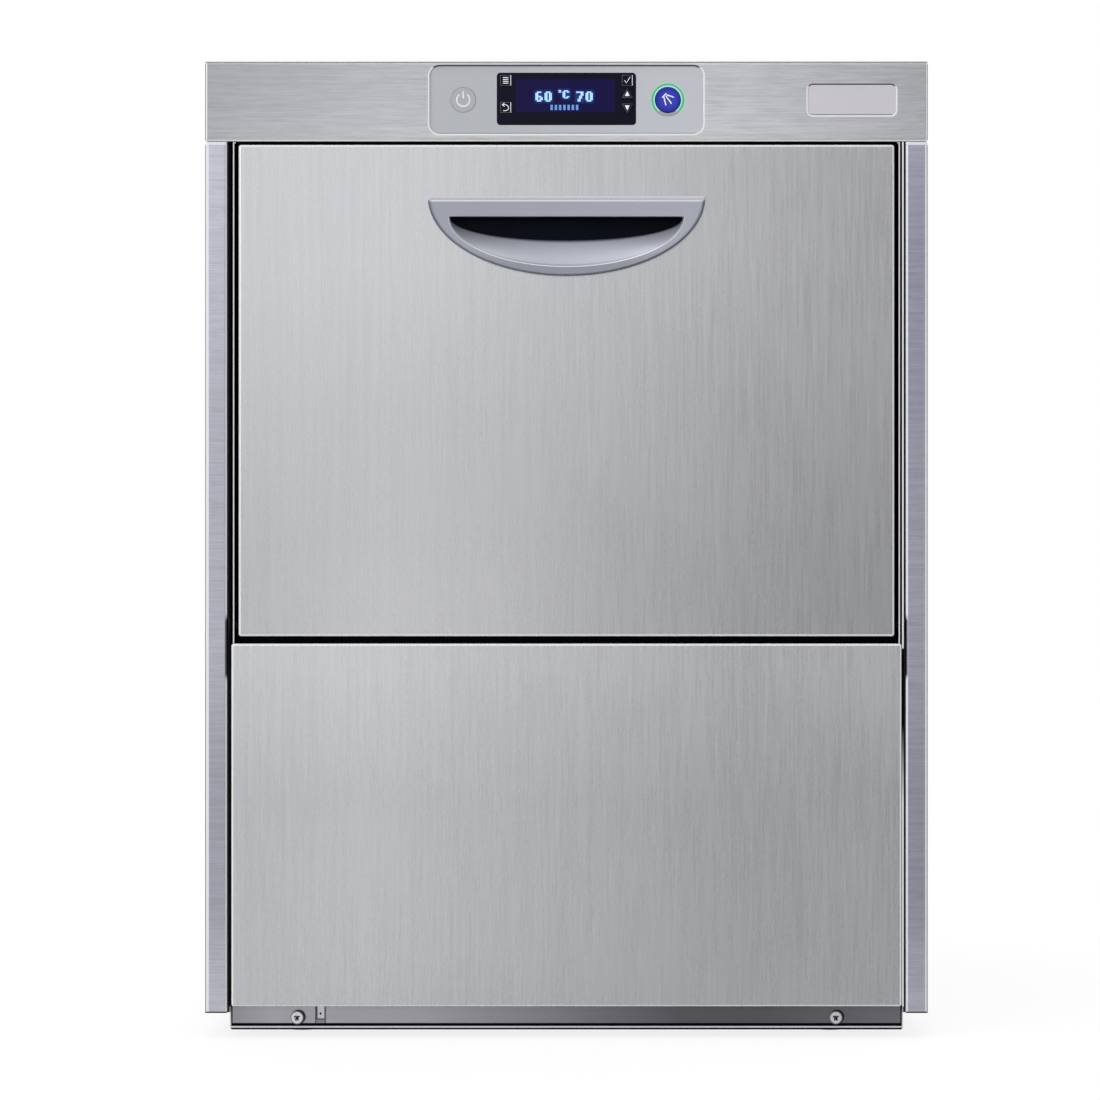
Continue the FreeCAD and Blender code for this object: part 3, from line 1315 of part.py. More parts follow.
def spray_arm(name, axis, base, way, span, hub, width, reach, wall):
    """A hollow arm closed at its ends, with a hub that runs on the journal and slots that face the glasses."""
    z = stacked(base, way, *span)
    hub_z = stacked(base, way, *hub)
    slots_z = stacked(base, way, span[1] - wall * 2, span[1] + wall)

    def along(a, b, heights):
        return (a, b, heights) if axis == "x" else (b, a, heights)

    def at_middle(span_along, span_across, heights):
        x, y, heights = along(span_along, span_across, heights)
        return x, (y[0] + ARM_Y, y[1] + ARM_Y), heights

    outside = [bar(name + "_beam", *at_middle((-reach, reach), centred(length(0), width), z))]
    for end, sign in (("near", -1), ("far", 1)):
        x, y, _ = along(sign * reach, length(0), z)
        outside.append(rod(f"{name}_{end}_end", "z", (x, y + ARM_Y), z, width / 2))
    inside = bar(name + "_bore",
                 *at_middle((-reach, reach), centred(length(0), width - wall * 2),
                            (z[0] + wall, z[1] - wall)))
    slots = []
    for number in range(SLOTS_PER_SIDE):
        middle = reach - (reach - S.arm_hub) * number / SLOTS_PER_SIDE - S.nozzle_slot * 2
        for side in (-1, 1):
            slots.append(bar(f"{name}_slot_{len(slots) + 1}", *at_middle(
                centred(middle * side, S.nozzle_slot), centred(length(0), width / 2), slots_z)))
    hollow_arm = cut(name + "_hollow", fuse(name + "_outside", *outside), inside, *slots)
    bore = rod(name + "_journal_bore", "z", (0, ARM_Y), (z[0] - S.arm_hub, z[1] + S.arm_hub),
               S.spindle_radius + S.spindle_play)
    return cut(name,
               fuse(name + "_with_hub", hollow_arm,
                    rod(name + "_hub", "z", (0, ARM_Y), hub_z, S.arm_hub)), bore)


def glass_rack():
    """The rack for 500 mm ware, here as its outside shape with a plain floor."""
    half = S.rack_width / 2
    y = (RACK_FRONT, RACK_FRONT + S.rack_width)
    z = (RACK_BOTTOM, RACK_BOTTOM + S.rack_height)
    rack = new_body("glass_rack")
    wall = S.rack_wall
    block(rack, "Pad", "z", (-half, half), y, z)
    block(rack, "Pocket", "z", (-(half - wall), half - wall), (y[0] + wall, y[1] - wall),
          (z[0] + S.rack_floor, z[1] + wall))
    round_edges(rack, S.rack_corner - wall,
                lambda e: runs_along(e, "z") and is_within(e, "x", -(half - wall), half - wall))
    round_edges(rack, S.rack_corner,
                lambda e: runs_along(e, "z") and (lies_at(e, "x", half) or lies_at(e, "x", -half)))
    return rack


SLOTS_PER_SIDE = 4
WASH_ARM = (S.arm_rise, S.arm_rise + S.wash_arm_height)
RINSE_ARM = (WASH_ARM[1] + S.arm_gap, WASH_ARM[1] + S.arm_gap + S.rinse_arm_height)
KNOB = (RINSE_ARM[1] + S.seat_gap, RINSE_ARM[1] + S.seat_gap + S.knob_height)
RINSE_HUB = (WASH_ARM[1] + S.seat_gap, RINSE_ARM[1])
ROOF = CEILING - S.sheet
WASH_REACH = ARM_REACH - S.wash_arm_width / 2
RINSE_REACH = ARM_REACH - S.rinse_arm_width / 2

for level, arm_base, up in (("lower", TANK_TOP, 1), ("upper", ROOF, -1)):
    node(spray_arm(level + "_wash_arm", "x", arm_base, up, WASH_ARM, WASH_ARM, S.wash_arm_width, WASH_REACH,
                   S.arm_wall))
    node(spray_arm(level + "_rinse_arm", "y", arm_base, up, RINSE_ARM, RINSE_HUB, S.rinse_arm_width,
                   RINSE_REACH,
                   S.arm_wall))
node(arm_spindle("lower_arm_spindle", TANK_TOP, 1, TANK_FLOOR))
node(arm_spindle("upper_arm_spindle", ROOF, -1, CEILING))
node(glass_rack())


# --- pumps, heating and services -------------------------------------------------------------------------

def wash_pump():
    """The wash pump: motor housing, volute and foot, hollow for the rotor."""
    centre = (PUMP_Y, PUMP_Z)
    foot_y = centred(PUMP_Y, S.volute_radius)
    solid = fuse("pump_solid", rod("pump_motor", "x", centre, (MOTOR_END, VOLUTE_X[0]), S.pump_radius),
                 rod("pump_volute", "x", centre, VOLUTE_X, S.volute_radius),
                 bar("pump_foot", (MOTOR_END + S.pump_radius / 2, VOLUTE_X[0] - S.pump_radius / 2), foot_y,
                     (TRAY, PUMP_Z)),
                 rod("pump_outlet", "z", (OUTLET_X, PUMP_Y), (PUMP_Z, OUTLET_Z), S.pipe_radius))
    wall = S.pump_wall
    return cut("wash_pump", solid,
               rod("impeller_space", "x", centre, (VOLUTE_X[0] + wall, VOLUTE_X[1] - wall),
                   S.volute_radius - wall * 2),
               rod("fan_space", "x", centre, (MOTOR_END + wall, MOTOR_END + wall + S.fan_width + wall),
                   S.pump_radius - wall * 2),
               rod("pump_bearing", "x", centre, (MOTOR_END + wall, VOLUTE_X[1] - wall),
                   S.pump_shaft + S.hinge_play),
               rod("pump_eye", "x", centre, (VOLUTE_X[0] + wall, VOLUTE_X[1] + wall),
                   S.suction_pipe - S.pipe_wall),
               rod("pump_outlet_bore", "z", (OUTLET_X, PUMP_Y), (PUMP_Z, OUTLET_Z + wall),
                   S.pipe_radius - S.pipe_wall))


def pump_rotor():
    """The impeller and the cooling fan on one shaft."""
    centre = (PUMP_Y, PUMP_Z)
    wall = S.pump_wall
    start = MOTOR_END + wall * 1.5
    impeller = (VOLUTE_X[0] + wall * 1.5, VOLUTE_X[1] - wall * 2.5)
    return fuse("pump_rotor", rod("rotor_shaft", "x", centre, (start, impeller[1]), S.pump_shaft),
                rod("rotor_fan", "x", centre, (start, start + S.fan_width), S.pump_radius - wall * 3),
                rod("rotor_impeller", "x", centre, impeller, S.volute_radius - wall * 3))


def wash_pipes():
    """The suction bend, the pipe to the lower arms, and the riser behind the chamber to the upper arms."""
    radius, wall, turn = S.pipe_radius, S.pipe_wall, S.pipe_radius * 1.6
    face = S.manifold / 2
    suction = hollow([(SUMP_SIDE, SUMP[1], SUCTION_Z), (SUCTION_X, SUMP[1], SUCTION_Z),
                      (SUCTION_X, SUMP[1], PUMP_Z), (VOLUTE_X[1], SUMP[1], PUMP_Z)],
                     S.suction_pipe, wall, S.suction_pipe * 1.2)
    feed = hollow([(OUTLET_X, PUMP_Y, OUTLET_Z), (OUTLET_X, PUMP_Y, WASH_FEED_Z),
                   (OUTLET_X, ARM_Y - face, WASH_FEED_Z)],
                  radius, wall, turn)
    riser = hollow([(OUTLET_X, ARM_Y + face, WASH_FEED_Z), (OUTLET_X, RISER_Y, WASH_FEED_Z),
                    (OUTLET_X, RISER_Y, ROOF_FEED_Z), (OUTLET_X, ARM_Y + face,
                                                       ROOF_FEED_Z)], radius, wall, turn)
    return [suction, feed, riser]


def rinse_pipes():
    """Two small pipes from the boiler, one to each pair of arms."""
    radius, wall, turn = S.rinse_pipe_radius, S.sheet, S.rinse_pipe_radius * 2.5
    face = S.manifold / 2
    low_x, high_x = BOILER_X[1] - S.boiler_outlet * 2, BOILER_X[1] - S.boiler_outlet
    lower = hollow([(low_x, BOILER_Y, BOILER_TOP), (low_x, BOILER_Y, RINSE_FEED_Z),
                    (low_x, ARM_Y, RINSE_FEED_Z),
                    (face, ARM_Y, RINSE_FEED_Z)], radius, wall, turn)
    upper = hollow([(high_x, BOILER_Y, BOILER_TOP), (high_x, BOILER_Y, RINSE_FEED_Z),
                    (high_x, RISER_Y, RINSE_FEED_Z),
                    (high_x, RISER_Y, ROOF_FEED_Z), (high_x, ARM_Y, ROOF_FEED_Z), (face, ARM_Y,
                                                                                   ROOF_FEED_Z)],
                   radius, wall, turn)
    return [lower, upper]


def rinse_boiler():
    """The boiler for the rinse water: a drum on two feet, with its element flange and two outlet stubs."""
    centre = (BOILER_Y, BOILER_Z)
    stubs = [rod(f"boiler_stub_{number}", "z", (BOILER_X[1] - S.boiler_outlet * number, BOILER_Y),
                 (BOILER_Z, BOILER_TOP),
                 S.rinse_pipe_radius + S.sheet) for number in (1, 2)]
    feet = [bar(f"boiler_foot_{number}", centred(x, S.boiler_saddle), centred(BOILER_Y, S.boiler_radius),
                (TRAY, BOILER_Z))
            for number, x in enumerate((BOILER_X[0] + S.boiler_saddle, BOILER_X[1] - S.boiler_saddle), start=1)]
    solid = fuse("boiler_solid", rod("boiler_drum", "x", centre, BOILER_X, S.boiler_radius),
                 rod("boiler_flange", "x", centre, (BOILER_X[0] - S.boiler_flange, BOILER_X[0]),
                     S.boiler_radius / 2),
                 *stubs, *feet)
    inside = rod("boiler_inside", "x", centre, (BOILER_X[0] + S.heavy_sheet, BOILER_X[1] - S.heavy_sheet),
                 S.boiler_radius - S.heavy_sheet)
    return cut("rinse_boiler", solid, inside)


def small_pump(name, x, y, z, foot):
    """A small canned pump on a foot, its motor in front of its head."""
    middle = (y[0] + y[1]) / 2
    radius = (y[1] - y[0]) / 2
    return [rod(name + "_can", "x", (middle, z), x, radius),
            rod(name + "_head", "x", (middle, z), (x[1], x[1] + radius / 2), radius * 1.2),
            bar(name + "_foot", (x[0] + foot, x[1] - foot), centred(middle, radius), (TRAY, z))]


def rinse_pump():
    """The rinse booster pump."""
    x = (RINSE_PUMP_X, RINSE_PUMP_X + S.small_pump_length)
    y = centred(RINSE_PUMP_Y, S.small_pump_radius * 2)
    return fuse("rinse_pump", *small_pump("rinse_pump", x, y, RINSE_PUMP_Z, S.pump_wall * 2))


def drain_pump():
    """The drain pump, its spigot through the rear panel, and its pipe from the bottom of the sump."""
    side = S.small_pump_radius
    body_y = (DRAIN_PUMP_Y, DRAIN_PUMP_Y + S.small_pump_length)
    box = box_between(centred(DRAIN[0], side * 2), body_y, (TRAY, DRAIN[1] + side))
    tip_y = BACK + S.connector_proud
    spigot = rear_connector(DRAIN, body_y[1], S.drain_radius)
    bore = cylinder_along_y(DRAIN, (body_y[1], tip_y), S.drain_radius - S.pipe_wall * 2)
    pipe = hollow([(SUMP[0], SUMP[1], SUMP_FLOOR), (SUMP[0], SUMP[1], DRAIN[1]),
                   (DRAIN[0], SUMP[1], DRAIN[1]),
                   (DRAIN[0], body_y[0], DRAIN[1])], S.drain_pipe, S.pipe_wall, S.drain_pipe * 2)
    return shaped("drain_pump", box.multiFuse(spigot).cut(bore).fuse(pipe))


def cylinder_along_y(centre, span, radius):
    low, high = length(span[0]), length(span[1])
    return Part.makeCylinder(length(radius).value, (high - low).value, vector(centre[0], low, centre[1]),
                             FreeCAD.Vector(0, 1, 0))


def rear_connector(centre, start_y, radius):
    """A neck through the rear panel with its flange inside and its nut outside, and the spigot for a hose."""
    return [cylinder_along_y(centre, (start_y, BACK), radius + S.service_neck),
            cylinder_along_y(centre, (REAR_INSIDE - S.service_flange, REAR_INSIDE), radius + S.service_lip),
            cylinder_along_y(centre, (BACK, BACK + S.panel_nut), radius + S.service_lip),
            cylinder_along_y(centre, (BACK + S.panel_nut, BACK + S.connector_proud), radius)]


def water_inlet_valve():
    """The fill valve, held by its threaded connector in the rear panel."""
    half = S.valve_body / 2
    valve_y = (REAR_INSIDE - S.service_flange - S.valve_length, REAR_INSIDE - S.service_flange)
    solid = box_between(centred(INLET[0], S.valve_body), valve_y,
                        centred(INLET[1], S.valve_body)).multiFuse([
        *rear_connector(INLET, valve_y[1], S.inlet_radius),
        Part.makeCylinder((half * VALVE_COIL_SHARE).value, half.value,
                          vector(INLET[0], (valve_y[0] + valve_y[1]) / 2, INLET[1] + half))])
    bore = cylinder_along_y(INLET, (valve_y[1], BACK + S.connector_proud), S.inlet_radius - S.inlet_wall)
    return shaped("water_inlet_valve", solid.cut(bore))


def cable_gland():
    """A gland for the supply cable, clamped in the rear panel."""
    thread = S.gland_radius - S.gland_shoulder
    inside, outside = REAR_INSIDE - S.gland_nut, BACK + S.gland_nut * 2
    solid = cylinder_along_y(GLAND, (inside, REAR_INSIDE), S.gland_radius).multiFuse([
        cylinder_along_y(GLAND, (REAR_INSIDE, BACK), thread),
        cylinder_along_y(GLAND, (BACK, outside), S.gland_radius)])
    return shaped("cable_gland", solid.cut(cylinder_along_y(GLAND, (inside, outside), S.gland_bore)))


def dosing_pumps():
    """Two peristaltic pumps, for detergent and rinse aid, on one bracket."""
    pieces = [bar("dosing_bracket",
                  (DOSING_X[0] - S.dosing_radius * 1.5, DOSING_X[1] + S.dosing_radius * 1.5),
                  (DOSING_Y, DOSING_Y + S.heavy_sheet), (TRAY, DOSING_Z + S.dosing_radius * 1.5))]
    bores = []
    for number, x in enumerate(DOSING_X, start=1):
        pieces.append(rod(f"dosing_body_{number}", "y", (x, DOSING_Z),
                          (DOSING_Y - S.dosing_depth, DOSING_Y), S.dosing_radius))
        bores.append(rod(f"dosing_rotor_space_{number}", "y", (x, DOSING_Z),
                         (DOSING_Y - S.dosing_depth - S.sheet,
                          DOSING_Y - S.dosing_depth / 2), S.dosing_rotor + S.rotor_gap))
        bores.append(rod(f"dosing_bearing_{number}", "y", (x, DOSING_Z),
                         (DOSING_Y - S.dosing_depth, DOSING_Y - S.sheet),
                         S.spring_pin + S.hinge_play))
    return cut("dosing_pumps", fuse("dosing_solid", *pieces), *bores)


def dosing_rotor(name, x):
    """A three-armed rotor on its shaft."""
    front = DOSING_Y - S.dosing_depth + S.rotor_gap
    disc_y = (front, DOSING_Y - S.dosing_depth / 2 - S.rotor_gap)
    return fuse(name, rod(name + "_disc", "y", (x, DOSING_Z), disc_y, S.dosing_rotor),
                rod(name + "_shaft", "y", (x, DOSING_Z), (disc_y[1], DOSING_Y - S.heavy_sheet),
                    S.spring_pin))


def electrics_plate():
    """An upright plate with the terminal block, two contactors and the mains filter."""
    front = DOSING_Y
    plate_x = (-CHASSIS_IN + S.electrics_inset, -S.electrics_gap)
    pieces = [bar("electrics_back", plate_x, (front, front + S.heavy_sheet),
                  (TRAY, TRAY + S.electrics_height))]
    unit = (plate_x[1] - plate_x[0]) / 4
    row = TRAY + S.electrics_height / 2
    deep = S.electrics_depth * CONTACTOR_DEPTH
    for number, depth in enumerate((S.electrics_depth, deep, deep), start=1):
        pieces.append(bar(f"electrics_unit_{number}",
                          (plate_x[0] + unit * (number - UNIT_SHARE), plate_x[0] + unit * number),
                          (front - depth, front), (row, row + S.electrics_depth * 2)))
    return fuse("electrics_plate", *pieces)


VALVE_COIL_SHARE = 0.6  # the coil's radius as a share of half the valve's width
UNIT_SHARE = 0.8  # how much of its place along the plate each electric unit fills
CONTACTOR_DEPTH = 1.6  # a contactor's depth in terminal block depths
PUMP_Y = SUMP[1]
PUMP_Z = TRAY + S.pump_rise
VOLUTE_X = (SUMP_SIDE - S.suction_run - S.volute_width, SUMP_SIDE - S.suction_run)
MOTOR_END = VOLUTE_X[0] - S.pump_length
OUTLET_X = (VOLUTE_X[0] + VOLUTE_X[1]) / 2
OUTLET_Z = PUMP_Z + S.volute_radius + S.pump_wall
SUCTION_X = (SUMP_SIDE + VOLUTE_X[1]) / 2
WASH_FEED_Z = TANK_FLOOR - S.manifold_height / 2
RISER_Y = (CHAMBER_BACK + S.sheet + REAR_INSIDE) / 2
ROOF_FEED_Z = CEILING + S.manifold_height / 2
RINSE_FEED_Z = WASH_FEED_Z - S.rinse_feed_drop
BOILER_Y = CHAMBER_BACK - S.boiler_setback
BOILER_Z = TRAY + S.boiler_radius + S.boiler_lift
BOILER_X = centred(0, S.boiler_length)
BOILER_TOP = BOILER_Z + S.boiler_radius + S.boiler_lift
RINSE_PUMP_X = BOILER_X[1] - S.boiler_outlet * 2
RINSE_PUMP_Y = BOILER_Y - S.boiler_radius - S.small_pump_radius * 2
RINSE_PUMP_Z = TRAY + S.small_pump_radius + S.boiler_lift * 2
DRAIN_PUMP_Y = BOILER_Y - S.boiler_radius * 1.5
DOSING_Y = FRONT + S.dosing_setback
DOSING_Z = TRAY + S.dosing_rise
DOSING_X = (S.dosing_offset, S.dosing_offset + S.dosing_pitch)

node(wash_pump())
node(pump_rotor())
node(shaped("spray_pipework", Part.Compound(wash_pipes() + rinse_pipes())))
node(rinse_boiler())
node(rinse_pump())
node(drain_pump())
node(water_inlet_valve())
node(cable_gland())
node(dosing_pumps())
node(dosing_rotor("detergent_rotor", DOSING_X[0]))
node(dosing_rotor("rinse_aid_rotor", DOSING_X[1]))
node(electrics_plate())


doc.recompute()
os.makedirs("parts", exist_ok=True)
for item in doc.Objects:
    bad = [state for state in item.State if state in ("Invalid", "Error")]
    if bad:
        raise RuntimeError(f"{item.Label} is {bad[0]}")
for item in NODES:
    if item.Shape.isNull() or not item.Shape.isValid():
        raise RuntimeError(f"{item.Label} has no valid shape")
for item in NODES:
    item.Shape.exportStep(f"parts/{item.Label}.step")
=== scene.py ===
import math

import bmesh
import bpy
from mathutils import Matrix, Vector


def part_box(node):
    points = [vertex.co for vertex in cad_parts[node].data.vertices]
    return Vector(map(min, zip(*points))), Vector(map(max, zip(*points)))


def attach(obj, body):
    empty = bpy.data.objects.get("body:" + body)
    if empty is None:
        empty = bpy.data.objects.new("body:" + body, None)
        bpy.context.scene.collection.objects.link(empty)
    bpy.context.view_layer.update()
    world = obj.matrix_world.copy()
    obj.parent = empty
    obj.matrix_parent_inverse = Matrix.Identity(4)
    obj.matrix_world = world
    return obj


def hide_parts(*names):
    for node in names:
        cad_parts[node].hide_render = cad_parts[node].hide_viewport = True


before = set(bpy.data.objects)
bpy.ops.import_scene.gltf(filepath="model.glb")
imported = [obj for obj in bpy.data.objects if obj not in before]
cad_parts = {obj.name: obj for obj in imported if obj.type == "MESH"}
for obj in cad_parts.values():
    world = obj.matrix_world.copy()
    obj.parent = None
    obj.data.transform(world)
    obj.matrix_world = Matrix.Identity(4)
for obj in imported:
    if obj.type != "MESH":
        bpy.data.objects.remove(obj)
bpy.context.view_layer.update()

# --- base tray and chassis -----------------------------------------------------------------------------
# The folded stainless tray that everything stands on, with a ground front strip, and the two side walls
# welded up from it. The walls and the electrics plate are mill-finish sheet, dull and slightly mottled.
# Painted near-black shade lies on the tray's foot, above its hem, in its corners and on both walls' fronts.


def rgb(red, green, blue_reflection):
    """A display colour, 0 to 255, as the shader's linear one."""
    parts = [c / 255 for c in (red, green, blue_reflection)]
    return tuple(c / 12.92 if c <= 0.04045 else ((c + 0.055) / 1.055) ** 2.4 for c in parts)


class Wire:
    """A socket of a node graph. Plain arithmetic on it adds Math nodes."""

    def __init__(self, graph, socket):
        self.graph, self.socket = graph, socket

    def math(self, operation, *values):
        return self.graph.node("ShaderNodeMath", {"operation": operation}, dict(enumerate(values)))

    def __add__(self, other):
        return self.math("ADD", self, other)

    def __radd__(self, other):
        return self.math("ADD", other, self)

    def __sub__(self, other):
        return self.math("SUBTRACT", self, other)

    def __rsub__(self, other):
        return self.math("SUBTRACT", other, self)

    def __mul__(self, other):
        return self.math("MULTIPLY", self, other)

    def __rmul__(self, other):
        return self.math("MULTIPLY", other, self)

    def __truediv__(self, other):
        return self.math("DIVIDE", self, other)

    def __rtruediv__(self, other):
        return self.math("DIVIDE", other, self)

    def __abs__(self):
        return self.math("ABSOLUTE", self)

    def __lt__(self, other):
        return self.math("LESS_THAN", self, other)

    def __gt__(self, other):
        return self.math("GREATER_THAN", self, other)

    def step(self, low, high):
        """0 below low, 1 above high, and straight between them."""
        return self.graph.node("ShaderNodeMapRange", {"clamp": True},
                               {0: self, 1: low, 2: high, 3: 0.0, 4: 1.0})


class Graph:
    """A node tree that is being built."""

    def __init__(self, tree):
        self.tree = tree

    def node(self, kind, settings=None, sockets=None, output=0):
        """Adds a node: its settings first, then the value or link of each socket. Gives one output."""
        made = self.tree.nodes.new(kind)
        for setting, value in (settings or {}).items():
            setattr(made, setting, value)
        for key, value in (sockets or {}).items():
            for one in value if isinstance(value, list) else [value]:
                if isinstance(one, Wire):
                    self.tree.links.new(one.socket, made.inputs[key])
                else:
                    made.inputs[key].default_value = one
        return Wire(self, made.outputs[output])


class Finish(Graph):
    """The surface of one kind of piece."""

    def __init__(self, name):
        self.material = bpy.data.materials.new(name)
        self.material.use_nodes = True
        super().__init__(self.material.node_tree)
        self.shader = self.tree.nodes["Principled BSDF"]
        self.place = self.node("ShaderNodeTexCoord", output="Object")

    def surface(self, **values):
        """Sets or links the shader's sockets, named with _ for each space."""
        for label, value in values.items():
            socket = self.shader.inputs[label.replace("_", " ")]
            if isinstance(value, Wire):
                self.tree.links.new(value.socket, socket)
            else:
                socket.default_value = value
        return self

    def scaled(self, factors):
        """The place, stretched by a factor along each axis."""
        return self.node("ShaderNodeVectorMath", {"operation": "MULTIPLY"}, {0: self.place, 1: factors})

    def axis(self, label):
        """One coordinate of the place, in metres."""
        return self.node("ShaderNodeSeparateXYZ", {}, {0: self.place}, label)

    def noise(self, factors, detail=2.0, roughness=0.55):
        """Noise about 0.5, with that many cells to the metre along each axis."""
        return self.node(
            "ShaderNodeTexNoise", {"noise_dimensions": "3D"},
            {"Vector": self.scaled(factors), "Scale": 1.0, "Detail": detail, "Roughness": roughness})

    def tinted(self, colour, tone):
        """A colour made lighter or darker by tone."""
        return self.node("ShaderNodeVectorMath", {"operation": "SCALE"}, {0: colour[:3], "Scale": tone})

    def blend(self, factor, first, second):
        """From the first colour to the second as factor goes from 0 to 1."""
        colours = [c if isinstance(c, Wire) else (*c[:3], 1.0) for c in (first, second)]
        return self.node("ShaderNodeMix", {"data_type": "RGBA"}, {0: factor, 6: colours[0], 7: colours[1]}, 2)

    def within(self, letter, low, high, soft=0.0002):
        """1 where that coordinate lies between low and high, with edges that fade over twice soft."""
        place = self.axis(letter)
        return place.step(low - soft, low + soft) * (1 - place.step(high - soft, high + soft))

    def near_edge(self, node, width, letters="XZ"):
        """1 along the outer edges of a CAD node's box, across those axes, and 0 inside."""
        low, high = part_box(node)
        found = 0.0
        for letter in letters:
            first, last = getattr(low, letter.lower()), getattr(high, letter.lower())
            outwards = abs(self.axis(letter) - (first + last) / 2) - ((last - first) / 2 - width)
            found = outwards.math("MAXIMUM", outwards.step(-0.0002, 0.0002), found)
        return found

    def reach(self, x, z):
        """Distance across the front from a point, and its two parts, in metres."""
        dx, dz = self.axis("X") - x, self.axis("Z") - z
        return dx.math("SQRT", dx * dx + dz * dz), dx, dz

    def rounded(self, low_x, low_z, high_x, high_z, corner):
        """Distance outwards from a rectangle with round corners, across the front, in metres."""
        past_x = abs(self.axis("X") - (low_x + high_x) / 2) - ((high_x - low_x) / 2 - corner)
        past_z = abs(self.axis("Z") - (low_z + high_z) / 2) - ((high_z - low_z) / 2 - corner)
        out_x, out_z = past_x.math("MAXIMUM", past_x, 0.0), past_z.math("MAXIMUM", past_z, 0.0)
        corner_part = out_x.math("SQRT", out_x * out_x + out_z * out_z)
        flat_part = past_x.math("MINIMUM", past_x.math("MAXIMUM", past_x, past_z), 0.0)
        return corner_part + flat_part - corner

    def either(self, *masks):
        """The strongest of several masks."""
        most = masks[0]
        for mask in masks[1:]:
            most = mask.math("MAXIMUM", most, mask)
        return most

    def highlighted(self, lines, colour, shine=rgb(250, 250, 252)):
        """Paints highlights over a colour: bright satin lines where light catches, such as on an edge."""
        return self.surface(Base_Color=self.blend(lines, colour, shine), Metallic=1 - lines * 0.85)

    def relief(self, height, depth):
        """A bump as deep as depth, in metres."""
        return self.node("ShaderNodeBump", {}, {"Strength": 1.0, "Distance": depth, "Height": height})


def dress(finish, *names):
    """Gives CAD nodes that finish."""
    for name in names:
        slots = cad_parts[name].data.materials
        slots.clear()
        slots.append(finish.material)


# How wide the painted highlight along a folded edge is.
FOLD_HIGHLIGHT = 0.0016


def ground_steel(name, colour, grain, roughness=0.28, lines=0.21, folded=None, letters="XZ", shades=(),
                 cells=(22, 640)):
    """Stainless sheet with the fine parallel lines of a grinding belt, running along the grain's axes.

    The folds round the front of the node called folded, across those letters, get a painted highlight.
    Each shade is painted light or shade: an axis, where it starts, where it ends and the share by which the
    sheet grows lighter between the two. The cells are how many scratches a metre holds along the grain and
    across it.
    """
    steel = Finish(name)
    along, across = cells
    fine = steel.noise(tuple(along if axis in grain else across for axis in "xyz"), 3.0, 0.6)
    broad = steel.noise(tuple(along * 0.18 if axis in grain else across * 0.41 for axis in "xyz"), 2.0)
    cloud = steel.noise((9, 9, 9), 2.0)
    tone = 1 + (fine - 0.5) * lines + (broad - 0.5) * lines * 0.5 + (cloud - 0.5) * 0.05
    for letter, start, end, share in shades:
        tone = tone * (1 + steel.axis(letter).step(start, end) * share)
    dull = roughness + (fine - 0.5) * 0.16 + (cloud - 0.5) * 0.07
    steel.colour = steel.tinted(colour, tone)
    steel.surface(Base_Color=steel.colour, Metallic=1.0, Roughness=dull, Normal=steel.relief(fine, 0.000006))
    if folded:
        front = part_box(folded)[0].y
        steel.front = 1 - steel.axis("Y").step(front + 0.0020, front + 0.0024)
        steel.fold = steel.near_edge(folded, FOLD_HIGHLIGHT, letters) * steel.front
        steel.highlighted(steel.fold, steel.colour)
    return steel


def mill_steel(name, colour, roughness=0.45):
    """Stainless sheet as it comes from the mill: dull, cloudy and very faintly pitted."""
    steel = Finish(name)
    cloud = steel.noise((14, 14, 14), 3.0)
    pits = steel.noise((700, 700, 700), 2.0)
    tone = 1 + (cloud - 0.5) * 0.16 + (pits - 0.5) * 0.06
    steel.colour = steel.tinted(colour, tone)
    return steel.surface(
        Base_Color=steel.colour, Metallic=1.0,
        Roughness=roughness + (cloud - 0.5) * 0.14 + (pits - 0.5) * 0.08,
        Normal=steel.relief(pits, 0.00001))


# Near-black painted shade covers the first 45 mm of each wall. Above the hinge and near the foot the front
# edge has a painted highlight, 0.6 mm deep on the right wall and none on the left, whose depth is below 0.
SHEET = rgb(186, 187, 190)
SHADE_BLACK = rgb(14, 14, 16)
WALL_SHADE_DEPTH = 0.045
dress(mill_steel("chassis_sheet_finish", SHEET), "electrics_plate")
for side, highlight_depth in (("left", -0.001), ("right", 0.0006)):
    wall_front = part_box(side + "_chassis_wall")[0].y
    wall_finish = mill_steel(side + "_wall_finish", SHEET)
    wall_shade = wall_finish.within("Y", wall_front + highlight_depth, wall_front + WALL_SHADE_DEPTH)
    edge = 1 - wall_finish.axis("Y").step(wall_front + highlight_depth - 0.0002, wall_front + highlight_depth)
    rise = wall_finish.axis("Z")
    edge_highlight = wall_finish.either(rise.step(0.3120, 0.3135), 1 - rise.step(0.19, 0.25))
    wall_finish.highlighted(edge * edge_highlight, wall_finish.blend(
        wall_finish.either(wall_shade, edge), wall_finish.colour, SHADE_BLACK))
    dress(wall_finish, side + "_chassis_wall")

# The tray's front, from its foot up: painted shade underneath, a painted highlight on the hem, a band of
# painted shade, and the ground strip, painted lighter and darker along its length, with a small tab folded
# down over it. Painted shade lies at the tab's sides and under it, a painted shadow rings each screw, set off
# to its upper right, and each end has a painted highlight at its corner with painted shade beside it.
HEM_FOOT, HEM_TOP, SHADED_TOP = 0.0017, 0.0030, 0.0055
TAB_X, TAB_HALF, TAB_GAP = -0.1977, 0.0033, 0.0009
CORNER, CORNER_SHADE = 0.0010, 0.0022
tray_low, tray_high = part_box("base_tray")
screw_low, screw_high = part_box("front_panel_screws")
screw_r = (screw_high.z - screw_low.z) / 2
screw_x, screw_z = screw_high.x - screw_r, screw_low.z + screw_r
tray = ground_steel("base_strip_finish", rgb(187, 187, 194), "x", 0.42, shades=(
    ("X", -0.235, -0.265, -0.22), ("X", -0.12, 0.09, -0.66), ("X", 0.16, 0.26, 0.60)))
face = 1 - tray.axis("Y").step(tray_low.y + 0.0018, tray_low.y + 0.0022)
